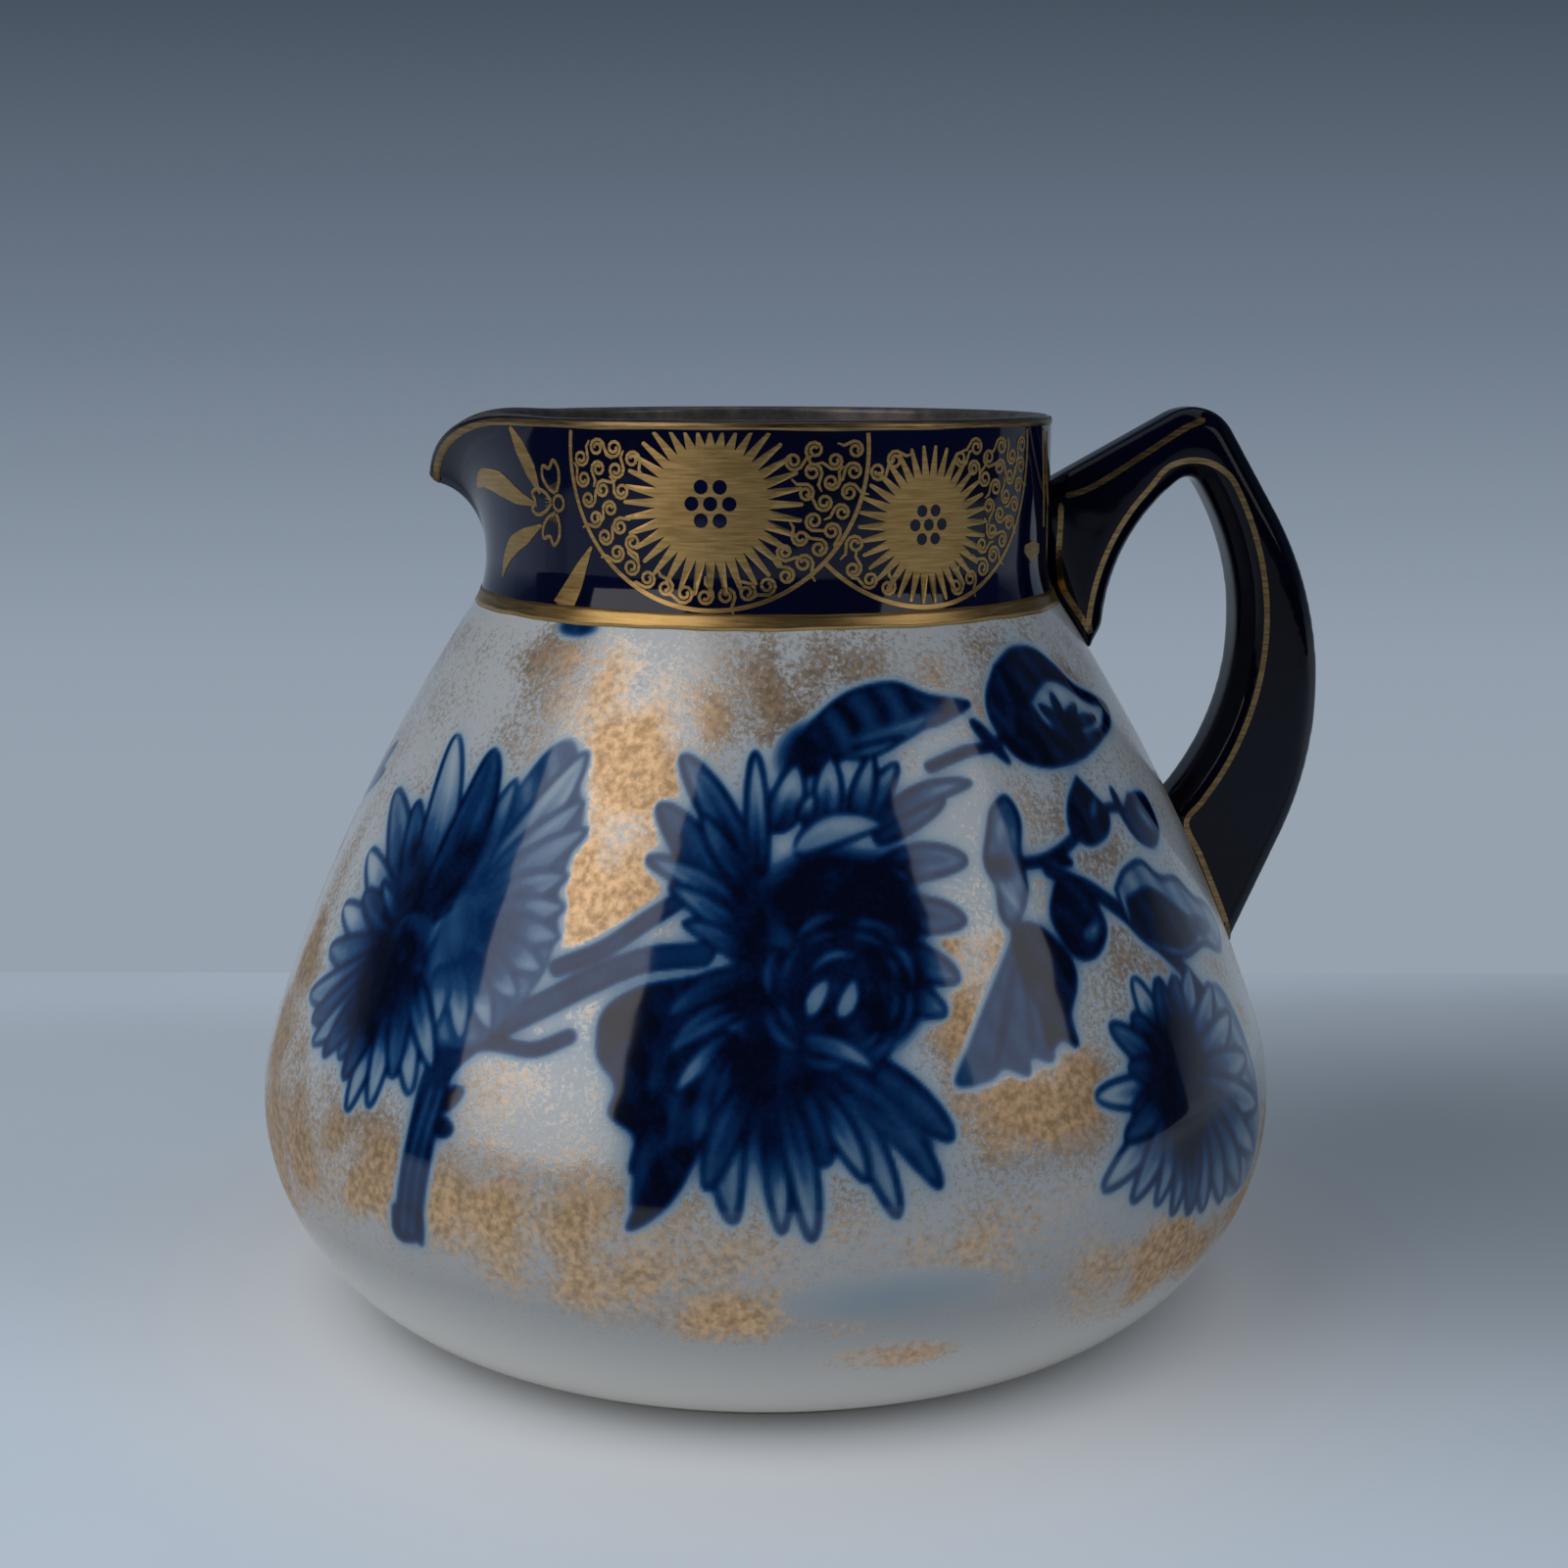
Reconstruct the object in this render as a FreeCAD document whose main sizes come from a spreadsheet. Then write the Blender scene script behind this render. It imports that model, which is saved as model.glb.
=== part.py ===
import FreeCAD, Part

# Porcelain cream jug, as a parametric FreeCAD document in millimetres.
#
# A squat pear-shaped bowl on a turned foot ring, a short upright neck with a pinched spout let
# into it, and a press-moulded loop handle. Gold is laid over the glaze as thin solids.
# Frame: +Z up, origin on the resting plane under the middle of the bowl, spout towards -X,
# handle towards +X.

import math
import os

import Sketcher
from FreeCAD import Vector

doc = FreeCAD.newDocument("cream_jug")

# Driving dimensions. Every size in the document reads one of these cells.
DIMENSIONS = [
    ("rim_height", 108.0, "resting plane to rim"),
    ("neck_radius", 34.4, "outside of the neck"),
    ("rim_bore", 32.0, "inside radius at the rim"),
    ("flare_height", 91.0, "top of the flare between shoulder and neck"),
    ("shoulder_height", 86.4, "joint between bowl and neck"),
    ("shoulder_radius", 35.2, "outside at that joint"),
    ("shoulder_bore", 31.6, "inside radius at that joint"),
    ("belly_height", 24.9, "height of the widest point"),
    ("belly_radius", 63.0, "radius at the widest point"),
    ("low_arc", 27.4, "profile radius under the belly"),
    ("high_arc", 28.0, "profile radius just over the belly"),
    ("join_height", 34.0, "where that arc runs into the long shoulder arc"),
    ("bowl_wall", 3.0, "wall and floor of the bowl"),
    ("heel_fillet", 1.2, "outside corner above the foot"),
    ("foot_height", 1.5, "foot ring"),
    ("foot_radius", 47.2, "outside of the foot ring"),
    ("foot_bore", 43.4, "inside of the foot ring"),
    ("foot_chamfer", 0.5, "edges of the foot ring's resting face"),
    ("spout_root", 91.5, "bottom of the gap that the spout fills"),
    ("spout_half_angle", 40.0, "degrees each side of the spout's middle"),
    ("notch_reach", 38.5, "how far the gap's cutter reaches along -X"),
    ("spout_reach", 6.9, "tip beyond the neck"),
    ("spout_drop", 8.2, "underside of the tip below the rim"),
    ("lip_wall", 1.7, "wall at the tip"),
    ("handle_depth", 9.6, "thickness of the handle across its plane"),
    ("handle_bevel", 2.2, "bevel round both side panels of the handle"),
    ("thumb_x", 52.5, "middle of the arc at the handle's peak"),
    ("thumb_z", 103.2, ""),
    ("thumb_arc", 5.6, "its radius"),
    ("back_x", 24.9, "middle of the arc down the handle's back"),
    ("back_z", 73.1, ""),
    ("back_arc", 44.7, "its radius"),
    ("grip_x", 26.0, "middle of the arc inside the grip"),
    ("grip_z", 81.6, ""),
    ("grip_arc", 32.8, "its radius"),
    ("web_x", 66.0, "middle of the arc under the handle's upper arm"),
    ("web_z", 80.8, ""),
    ("web_arc", 24.3, "its radius"),
    ("crook_arc", 1.6, "inside corner at the top of the grip"),
    ("arm_x", 31.0, "start of the upper arm, inside the neck"),
    ("arm_z", 97.7, ""),
    ("heel_x", 57.0, "end of the back, inside the bowl"),
    ("heel_z", 35.3, ""),
    ("grip_end_z", 58.4, "end of the grip's arc, inside the bowl"),
    ("web_end_z", 81.9, "end of the web's arc, above the shoulder"),
    ("web_root_x", 38.5, "end of the web, inside the bowl"),
    ("web_root_z", 76.0, ""),
    ("gilt_skin", 0.2, "gold laid over the glaze"),
    ("rim_line", 1.1, "gilt line round the rim"),
    ("band_width", 1.7, "gilt band on the shoulder"),
    ("handle_line", 0.8, "gilt line round the handle's side panels"),
    ("handle_margin", 0.5, "that line from the panel's edge"),
    ("bare_arc", 37.2, "outside this radius, round the grip's centre, the handle's back has no line"),
    ("bare_peak_x", 54.5, "where the arm's line ends, at the peak"),
    ("bare_low_x", 61.5, "beside the end of the lower joint's line"),
    ("bare_low_z", 43.0, ""),
    ("ring_arc", 17.3, "outline ring of a neck medallion"),
    ("ring_line", 0.5, "width of that ring"),
    ("ring_z", 104.9, "middle of that ring"),
    ("sun_rays", 32, "rays of a sunburst"),
    ("spout_sun_bearing", 15.3, "degrees from the jug's side to the medallion nearer the spout"),
    ("spout_sun_arc", 9.6, "its sunburst to the ray tips"),
    ("spout_sun_core", 6.6, "its solid middle"),
    ("spout_sun_z", 99.1, "its height"),
    ("handle_sun_bearing", 26.0, "degrees from the jug's side to the medallion nearer the handle"),
    ("handle_sun_arc", 8.1, "its sunburst to the ray tips"),
    ("handle_sun_core", 5.4, "its solid middle"),
    ("handle_sun_z", 96.6, "its height"),
]
sheet = doc.addObject("Spreadsheet::Sheet", "dims")
for row, (alias, value, note) in enumerate(DIMENSIONS, start=1):
    sheet.set(f"A{row}", note or alias)
    sheet.set(f"B{row}", str(value))
    sheet.setAlias(f"B{row}", alias)
doc.recompute()
size = {alias: float(sheet.get(alias)) for alias, _, _ in DIMENSIONS}

SECTIONS = 21  # radial sections that the spout is lofted through
CURVE_POINTS = 9  # points on each curve of a section
HEADROOM = 6.0  # how far a cutter runs past what it cuts
PARTS = {}


# ---------------------------------------------------------------- sketch and feature helpers
def keep(obj, label):
    """Names a document object as one of the jug's pieces."""
    obj.Label = label
    PARTS[label] = obj
    return obj


def keep_shape(shape, label):
    """A piece whose shape is worked out here from the sheet's sizes."""
    piece = doc.addObject("Part::Feature", "shape_" + label)
    piece.Shape = shape
    piece.Placement = FreeCAD.Placement()
    return keep(piece, label)


def new_body(name):
    return doc.addObject("PartDesign::Body", name)


def new_sketch(body, name, role="XZ_Plane"):
    sketch = body.newObject("Sketcher::SketchObject", name)
    plane = next(f for f in body.Origin.OriginFeatures if f.Role == role)
    sketch.AttachmentSupport = (plane, "")
    sketch.MapMode = "FlatFace"
    return sketch


def bind(sketch, kind, refs, alias):
    """A dimension of the sketch, bound to a cell of the sheet."""
    number = sketch.addConstraint(Sketcher.Constraint(kind, *refs, size[alias]))
    name = f"{alias}_{number}"
    sketch.renameConstraint(number, name)
    sketch.setExpression(f"Constraints.{name}", f"dims.{alias}")


def pin(sketch, element, point, across=None, up=None):
    """Holds a point of an element at bound distances from the sketch's origin."""
    if across:
        bind(sketch, "DistanceX", (-1, 1, element, point), across)
    if up:
        bind(sketch, "DistanceY", (-1, 1, element, point), up)


def add_line(sketch, start, end):
    segment = Part.LineSegment(Vector(start[0], start[1], 0), Vector(end[0], end[1], 0))
    return sketch.addGeometry(segment, False)


def add_arc(sketch, centre, radius, start, end):
    """An arc that runs anticlockwise between two angles, in radians."""
    circle = Part.Circle(Vector(centre[0], centre[1], 0), Vector(0, 0, 1), radius)
    return sketch.addGeometry(Part.ArcOfCircle(circle, start, end), False)


def join(sketch, kind, *pairs):
    """Joins (element, point, element, point) by Coincident or Tangent."""
    for pair in pairs:
        sketch.addConstraint(Sketcher.Constraint(kind, *pair))


def on_circle(centre, radius, angle):
    return centre[0] + radius * math.cos(angle), centre[1] + radius * math.sin(angle)


def aim(start, end):
    """Direction from one point to another, in radians."""
    return math.atan2(end[1] - start[1], end[0] - start[0])


def feature(body, kind, name, profile, **values):
    """A sketch-based feature; its bound sizes are given as expressions."""
    made = body.newObject(kind, name)
    made.Profile = profile
    for key, expression in values.items():
        made.setExpression(key, expression)
    profile.Visibility = False
    return made


def turn(body, kind, name, sketch):
    """A Revolution or a Groove all the way round the jug's axis."""
    made = feature(body, kind, name, sketch)
    made.ReferenceAxis = (sketch, ["V_Axis"])
    made.Angle = 360.0
    doc.recompute()
    return made


def edges_at(shape, height, radius):
    """Names of the level round edges at that height and radius."""
    near = 0.05
    names = []
    for number, edge in enumerate(shape.Edges, start=1):
        box = edge.BoundBox
        if box.ZLength < near and abs(box.ZMin - height) < near and abs(box.XMax - radius) < near:
            names.append(f"Edge{number}")
    return names


# ---------------------------------------------------------------- the jug's outer profile
def long_arc(start, aimed, end):
    """Centre and radius of the arc from start, square to the aimed direction there, to end."""
    step = (end[0] - start[0], end[1] - start[1])
    square = step[0] ** 2 + step[1] ** 2
    radius = -square / (2 * (step[0] * math.cos(aimed) + step[1] * math.sin(aimed)))
    return on_circle(start, -radius, aimed), radius


def add_bowl_profile(sketch):
    """Foot plane and the three tangent arcs of the bowl. Returns the first line and last arc."""
    belly = (size["belly_radius"], size["belly_height"])
    low_centre = (belly[0] - size["low_arc"], belly[1])
    high_centre = (belly[0] - size["high_arc"], belly[1])
    shoulder = (size["shoulder_radius"], size["shoulder_height"])
    first = math.asin((size["foot_height"] - belly[1]) / size["low_arc"])
    last = math.asin((size["join_height"] - belly[1]) / size["high_arc"])
    meet = on_circle(high_centre, size["high_arc"], last)
    long_centre, long_radius = long_arc(meet, last, shoulder)
    start = on_circle(low_centre, size["low_arc"], first)
    under = add_line(sketch, (0, size["foot_height"]), start)
    low = add_arc(sketch, low_centre, size["low_arc"], first, 0.0)
    high = add_arc(sketch, high_centre, size["high_arc"], 0.0, last)
    top = add_arc(sketch, long_centre, long_radius, last, aim(long_centre, shoulder))
    join(sketch, "Coincident", (under, 2, low, 1))
    join(sketch, "Tangent", (low, 2, high, 1), (high, 2, top, 1))
    sketch.addConstraint(Sketcher.Constraint("Horizontal", under))
    sketch.addConstraint(Sketcher.Constraint("PointOnObject", under, 1, -2))
    bind(sketch, "Radius", (low,), "low_arc")
    bind(sketch, "Radius", (high,), "high_arc")
    pin(sketch, under, 1, up="foot_height")
    pin(sketch, low, 3, up="belly_height")
    pin(sketch, low, 2, "belly_radius", "belly_height")
    pin(sketch, high, 2, up="join_height")
    pin(sketch, top, 2, "shoulder_radius", "shoulder_height")
    return under, top


def close_on_axis(sketch, last, last_point, corner, first):
    """A level line in to the axis and a line down it, back to the first line."""
    across = add_line(sketch, corner, (0, corner[1]))
    down = add_line(sketch, (0, corner[1]), (0, size["foot_height"]))
    join(sketch, "Coincident", (last, last_point, across, 1), (across, 2, down, 1), (down, 2, first, 1))
    sketch.addConstraint(Sketcher.Constraint("Horizontal", across))
    sketch.addConstraint(Sketcher.Constraint("PointOnObject", across, 2, -2))


def envelope_sketch(body):
    """Everything inside the outer face of bowl and neck, to cut the handle's seat with."""
    sketch = new_sketch(body, "envelope")
    under, top = add_bowl_profile(sketch)
    flare_end = (size["neck_radius"], size["flare_height"])
    above = size["rim_height"] + HEADROOM
    flare = add_line(sketch, (size["shoulder_radius"], size["shoulder_height"]), flare_end)
    wall = add_line(sketch, flare_end, (size["neck_radius"], above))
    join(sketch, "Coincident", (top, 2, flare, 1), (flare, 2, wall, 1))
    sketch.addConstraint(Sketcher.Constraint("Vertical", wall))
    pin(sketch, flare, 2, "neck_radius", "flare_height")
    sketch.addConstraint(Sketcher.Constraint("DistanceY", -1, 1, wall, 2, above))
    close_on_axis(sketch, wall, 2, (size["neck_radius"], above), under)
    return sketch


# ---------------------------------------------------------------- thrown and turned pieces
def make_bowl():
    """The bowl: turned solid, hollowed to an even wall and open at the shoulder."""
    body = new_body("bowl_body")
    sketch = new_sketch(body, "bowl_profile")
    under, top = add_bowl_profile(sketch)
    close_on_axis(sketch, top, 2, (size["shoulder_radius"], size["shoulder_height"]), under)
    turned = turn(body, "PartDesign::Revolution", "bowl_turned", sketch)
    start = turned.Shape.Vertexes
    heel_radius = max(v.X for v in start if abs(v.Z - size["foot_height"]) < 0.01)
    heel = body.newObject("PartDesign::Fillet", "bowl_heel")
    heel.Base = (turned, edges_at(turned.Shape, size["foot_height"], heel_radius))
    heel.setExpression("Radius", "dims.heel_fillet")
    doc.recompute()
    mouth = max(range(len(heel.Shape.Faces)), key=lambda i: heel.Shape.Faces[i].CenterOfMass.z)
    hollow = body.newObject("PartDesign::Thickness", "bowl_hollow")
    hollow.Base = (heel, [f"Face{mouth + 1}"])
    hollow.setExpression("Value", "dims.bowl_wall")
    hollow.Reversed = True
    body.Tip = hollow
    return keep(body, "body_bowl")


def add_ring_section(sketch, corners, pins):
    """A closed section of straight sides, each corner pinned to its two cells."""
    count = len(corners)
    sides = [add_line(sketch, corners[i], corners[(i + 1) % count]) for i in range(count)]
    for i in range(count):
        join(sketch, "Coincident", (sides[i], 2, sides[(i + 1) % count], 1))
        pin(sketch, sides[i], 1, *pins[i])


def make_foot():
    body = new_body("foot_body")
    sketch = new_sketch(body, "foot_section")
    inner, outer, top = size["foot_bore"], size["foot_radius"], size["foot_height"]
    corners = [(inner, 0), (outer, 0), (outer, top), (inner, top)]
    sides = [add_line(sketch, corners[i], corners[(i + 1) % 4]) for i in range(4)]
    for i, way in enumerate(("Horizontal", "Vertical", "Horizontal", "Vertical")):
        join(sketch, "Coincident", (sides[i], 2, sides[(i + 1) % 4], 1))
        sketch.addConstraint(Sketcher.Constraint(way, sides[i]))
    sketch.addConstraint(Sketcher.Constraint("PointOnObject", sides[0], 1, -1))
    pin(sketch, sides[0], 1, "foot_bore")
    pin(sketch, sides[2], 1, "foot_radius", "foot_height")
    ring = turn(body, "PartDesign::Revolution", "foot_turned", sketch)
    softened = body.newObject("PartDesign::Chamfer", "foot_edges")
    softened.Base = (ring, edges_at(ring.Shape, 0, outer) + edges_at(ring.Shape, 0, inner))
    softened.setExpression("Size", "dims.foot_chamfer")
    body.Tip = softened
    return keep(body, "foot_ring")


def make_neck():
    """The neck: a turned ring with a gap cut in its front for the spout."""
    body = new_body("neck_body")
    sketch = new_sketch(body, "neck_section")
    names = [
        ("shoulder_bore", "shoulder_height"),
        ("shoulder_radius", "shoulder_height"),
        ("neck_radius", "flare_height"),
        ("neck_radius", "rim_height"),
        ("rim_bore", "rim_height"),
    ]
    add_ring_section(sketch, [(size[x], size[z]) for x, z in names], names)
    ring = turn(body, "PartDesign::Revolution", "neck_turned", sketch)
    cut_spout_gap(body, "neck_gap", "rim_height")
    if ring.Shape.Volume - body.Shape.Volume < 1.0:
        raise SystemExit("the gap for the spout cut nothing")
    return keep(body, "neck_collar")


def cut_spout_gap(body, name, top):
    """Cuts away the sector of a ring that the spout fills, from a height down to its root."""
    sketch = new_sketch(body, name + "_plan", "XY_Plane")
    sketch.setExpression("AttachmentOffset.Base.z", f"dims.{top}")
    reach = size["notch_reach"]
    half = reach * math.tan(math.radians(size["spout_half_angle"]))
    corners = [(0, 0), (-reach, half), (-reach, -half)]
    sides = [add_line(sketch, corners[i], corners[(i + 1) % 3]) for i in range(3)]
    for i in range(3):
        join(sketch, "Coincident", (sides[i], 2, sides[(i + 1) % 3], 1))
    sketch.addConstraint(Sketcher.Constraint("Coincident", sides[0], 1, -1, 1))
    sketch.addConstraint(Sketcher.Constraint("Symmetric", sides[0], 2, sides[2], 1, -1))
    bind(sketch, "DistanceX", (sides[0], 2, -1, 1), "notch_reach")
    tall = sketch.addConstraint(Sketcher.Constraint("DistanceY", -1, 1, sides[0], 2, half))
    sketch.renameConstraint(tall, "half_width")
    sketch.setExpression("Constraints.half_width", "dims.notch_reach * tan(dims.spout_half_angle)")
    gap = feature(body, "PartDesign::Pocket", name, sketch, Length=f"dims.{top} - dims.spout_root")
    body.Tip = gap
    doc.recompute()
    return gap


# ---------------------------------------------------------------- the spout
def drawn(bearing):
    """How far the spout is drawn out at an angle from its middle: 1 there, 0 at its edges."""
    share = 1 - abs(bearing) / size["spout_half_angle"]
    return share * share * (3 - 2 * share) * (0.55 + 0.45 * share)


def bore_at(height):
    """Inside radius of the plain neck at a height."""
    rise = (height - size["shoulder_height"]) / (size["rim_height"] - size["shoulder_height"])
    return size["shoulder_bore"] + (size["rim_bore"] - size["shoulder_bore"]) * rise


def spout_curves(bearing):
    """Outer and inner curve of the spout's radial section, as (radius, height) points.

    Each is a quarter ellipse: upright where it leaves the neck, level where it ends at the lip.
    """
    share = drawn(bearing)
    fall = 1 - math.sqrt(max(0.0, 1 - share * share))
    outer_top = size["rim_height"] - size["spout_drop"] * fall
    inner_top = outer_top + size["lip_wall"] * share
    wall = size["neck_radius"] - size["rim_bore"]
    outer, inner = [], []
    for i in range(CURVE_POINTS):
        angle = math.pi / 2 * i / (CURVE_POINTS - 1)
        root = size["spout_root"]
        z = root + (outer_top - root) * math.sin(angle)
        outer.append((size["neck_radius"] + size["spout_reach"] * share * (1 - math.cos(angle)), z))
        z = root + (inner_top - root) * math.sin(angle)
        draw = size["spout_reach"] * share + wall * fall
        inner.append((bore_at(z) + draw * (1 - math.cos(angle)), z))
    return outer, inner


def stand(point, bearing):
    """A (radius, height) point of the section at an angle from the spout's middle."""
    angle = math.radians(180 + bearing)
    return Vector(point[0] * math.cos(angle), point[0] * math.sin(angle), point[1])


def curve_through(points):
    curve = Part.BSplineCurve()
    curve.interpolate(points)
    return curve.toShape()


def section_bearings():
    half = size["spout_half_angle"]
    return [half * (2 * i / (SECTIONS - 1) - 1) for i in range(SECTIONS)]


def spout_section(bearing):
    """Closed radial section of the spout: outer face, lip, inner face, bottom."""
    outer, inner = (
        [stand(point, bearing) for point in curve] for curve in spout_curves(bearing)
    )
    return Part.Wire([
        curve_through(outer),
        Part.makeLine(outer[-1], inner[-1]),
        curve_through(inner[::-1]),
        Part.makeLine(inner[0], outer[0]),
    ])


def lip_gilt_section(bearing):
    """Small section of gold along the outside of the spout's lip."""
    outer, _ = spout_curves(bearing)
    end, share = outer[-1], drawn(bearing)
    # The gold follows the outer face back from the lip, which is level at the tip and upright
    # at the edges of the spout.
    back = outer[-2] if share > 0 else (end[0], end[1] - size["rim_line"])
    way = aim(end, back)
    out = (math.cos(way + math.pi / 2), math.sin(way + math.pi / 2))
    skin = size["gilt_skin"]
    far = (end[0] + size["rim_line"] * math.cos(way), end[1] + size["rim_line"] * math.sin(way))
    corners = [end, far, (far[0] + skin * out[0], far[1] + skin * out[1])]
    corners.append((end[0] + skin * out[0], end[1] + skin * out[1]))
    return Part.makePolygon([stand(c, bearing) for c in corners + corners[:1]])


def make_spout():
    sections = [spout_section(bearing) for bearing in section_bearings()]
    return keep_shape(Part.makeLoft(sections, True, False), "pouring_spout")


# ---------------------------------------------------------------- the handle
def tangent_point(centre, radius, outside):
    """Where the line from an outside point touches a circle on its clockwise side."""
    away = math.dist(centre, outside)
    return on_circle(centre, radius, aim(centre, outside) - math.acos(radius / away))


def crook_centre():
    """Middle of the small arc that touches the grip's and the web's arcs from inside."""
    grip, web = (size["grip_x"], size["grip_z"]), (size["web_x"], size["web_z"])
    near = size["grip_arc"] - size["crook_arc"]
    far = size["web_arc"] - size["crook_arc"]
    apart = math.dist(grip, web)
    along = (near * near - far * far + apart * apart) / (2 * apart)
    return on_circle(grip, near, aim(grip, web) + math.acos(along / near))


def handle_sketch(body):
    """Side view of the handle: arm, peak, back, and round the inside of the grip."""
    sketch = new_sketch(body, "handle_outline")
    thumb, back = (size["thumb_x"], size["thumb_z"]), (size["back_x"], size["back_z"])
    grip, web = (size["grip_x"], size["grip_z"]), (size["web_x"], size["web_z"])
    arm, heel = (size["arm_x"], size["arm_z"]), (size["heel_x"], size["heel_z"])
    root = (size["web_root_x"], size["web_root_z"])
    crook = crook_centre()
    # Tangent angles: the arm onto the peak, the peak down to the back, the back to the heel.
    rise = aim(thumb, arm) - math.acos(size["thumb_arc"] / math.dist(thumb, arm))
    slope = aim(back, thumb) - math.acos(
        (size["back_arc"] - size["thumb_arc"]) / math.dist(back, thumb)
    )
    fall = aim(back, heel) + math.acos(size["back_arc"] / math.dist(back, heel))
    grip_start = math.asin((size["grip_end_z"] - grip[1]) / size["grip_arc"])
    web_end = math.pi - math.asin((size["web_end_z"] - web[1]) / size["web_arc"])
    peak_in = on_circle(thumb, size["thumb_arc"], rise)
    peak_out = on_circle(thumb, size["thumb_arc"], slope)
    back_in = on_circle(back, size["back_arc"], slope)
    back_out = on_circle(back, size["back_arc"], fall)
    grip_low = on_circle(grip, size["grip_arc"], grip_start)
    web_low = on_circle(web, size["web_arc"], web_end)
    upper = add_line(sketch, arm, peak_in)
    peak = add_arc(sketch, thumb, size["thumb_arc"], slope, rise)
    drop = add_line(sketch, peak_out, back_in)
    spine = add_arc(sketch, back, size["back_arc"], fall, slope)
    tail = add_line(sketch, back_out, heel)
    across = add_line(sketch, heel, grip_low)
    inside = add_arc(sketch, grip, size["grip_arc"], grip_start, aim(grip, crook))
    corner = add_arc(sketch, crook, size["crook_arc"], aim(grip, crook), aim(web, crook))
    under = add_arc(sketch, web, size["web_arc"], aim(web, crook), web_end)
    flare = add_line(sketch, web_low, root)
    shut = add_line(sketch, root, arm)
    join(
        sketch, "Tangent",
        (upper, 2, peak, 2), (peak, 1, drop, 1), (drop, 2, spine, 2), (spine, 1, tail, 1),
        (inside, 2, corner, 1), (corner, 2, under, 1),
    )
    join(
        sketch, "Coincident",
        (tail, 2, across, 1), (across, 2, inside, 1), (under, 2, flare, 1),
        (flare, 2, shut, 1), (shut, 2, upper, 1),
    )
    for element, name in ((peak, "thumb"), (spine, "back"), (inside, "grip"), (under, "web")):
        bind(sketch, "Radius", (element,), name + "_arc")
        pin(sketch, element, 3, name + "_x", name + "_z")
    bind(sketch, "Radius", (corner,), "crook_arc")
    pin(sketch, upper, 1, "arm_x", "arm_z")
    pin(sketch, tail, 2, "heel_x", "heel_z")
    pin(sketch, inside, 1, up="grip_end_z")
    pin(sketch, under, 2, up="web_end_z")
    pin(sketch, flare, 2, "web_root_x", "web_root_z")
    return sketch


def make_handle():
    """The handle: a bevelled slab, seated on the outside of bowl and neck."""
    body = new_body("handle_body")
    slab = feature(body, "PartDesign::Pad", "handle_slab", handle_sketch(body), Length="dims.handle_depth")
    slab.Midplane = True
    doc.recompute()
    panels = [
        f"Face{i}" for i, face in enumerate(slab.Shape.Faces, start=1) if face.BoundBox.YLength < 0.01
    ]
    bevel = body.newObject("PartDesign::Chamfer", "handle_bevel")
    bevel.Base = (slab, panels)
    bevel.setExpression("Size", "dims.handle_bevel")
    body.Tip = bevel
    doc.recompute()
    plain = bevel.Shape.copy()
    seat_sketch = envelope_sketch(body)
    seat = turn(body, "PartDesign::Groove", "handle_seat", seat_sketch)
    body.Tip = seat
    doc.recompute()
    if plain.Volume - seat.Shape.Volume < 1.0:
        raise SystemExit("the handle's seat cut nothing")
    keep(body, "handle")
    inside = Part.Face(seat_sketch.Shape.Wires[0]).revolve(Vector(), Vector(0, 0, 1), 360)
    return plain, inside


# ---------------------------------------------------------------- gold
def make_rim_gold():
    """A gilt line round the outside of the rim, and one along the spout's lip."""
    outer = size["neck_radius"] + size["gilt_skin"]
    base = Vector(0, 0, size["rim_height"] - size["rim_line"])
    ring = Part.makeCylinder(outer, size["rim_line"], base)
    ring = ring.cut(Part.makeCylinder(size["neck_radius"], size["rim_line"], base))
    half = size["spout_half_angle"]
    sector = Part.makeCylinder(
        outer + HEADROOM, size["rim_line"], base, Vector(0, 0, 1), 2 * half
    )
    sector.rotate(Vector(), Vector(0, 0, 1), 180 - half)
    keep_shape(ring.cut(sector), "gilt_rim_line")
    sections = [lip_gilt_section(bearing) for bearing in section_bearings()]
    keep_shape(Part.makeLoft(sections, True, False), "gilt_lip_line")


def make_band(handle_shape):
    """The gilt band in the flare between shoulder and neck, stopping at the handle."""
    run = size["flare_height"] - size["shoulder_height"]
    lean = (size["shoulder_radius"] - size["neck_radius"]) / run
    base = Vector(0, 0, size["shoulder_height"])
    low, top = size["shoulder_radius"], size["shoulder_radius"] - lean * size["band_width"]
    skin = size["gilt_skin"]
    outside = Part.makeCone(low + skin, top + skin, size["band_width"], base)
    band = outside.cut(Part.makeCone(low, top, size["band_width"], base)).cut(handle_shape)
    keep_shape(band, "gilt_shoulder_band")


def bare_back():
    """The part of the handle's side view that carries no line: its back, from peak to heel."""
    centre = (size["grip_x"], size["grip_z"])
    far_x = size["back_x"] + size["back_arc"] + HEADROOM
    top, bottom = size["rim_height"] + HEADROOM, 0.0
    corners = [on_circle(centre, size["bare_arc"], math.radians(a)) for a in (-38, -20, 0, 20, 30)]
    corners += [(size["bare_peak_x"], size["thumb_z"]), (size["bare_peak_x"], top)]
    corners += [(far_x, top), (far_x, bottom), (size["bare_low_x"], size["bare_low_z"])]
    depth = size["handle_depth"]
    wire = Part.makePolygon([Vector(x, -depth, z) for x, z in corners + corners[:1]])
    return Part.Face(wire).extrude(Vector(0, 2 * depth, 0))


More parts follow.
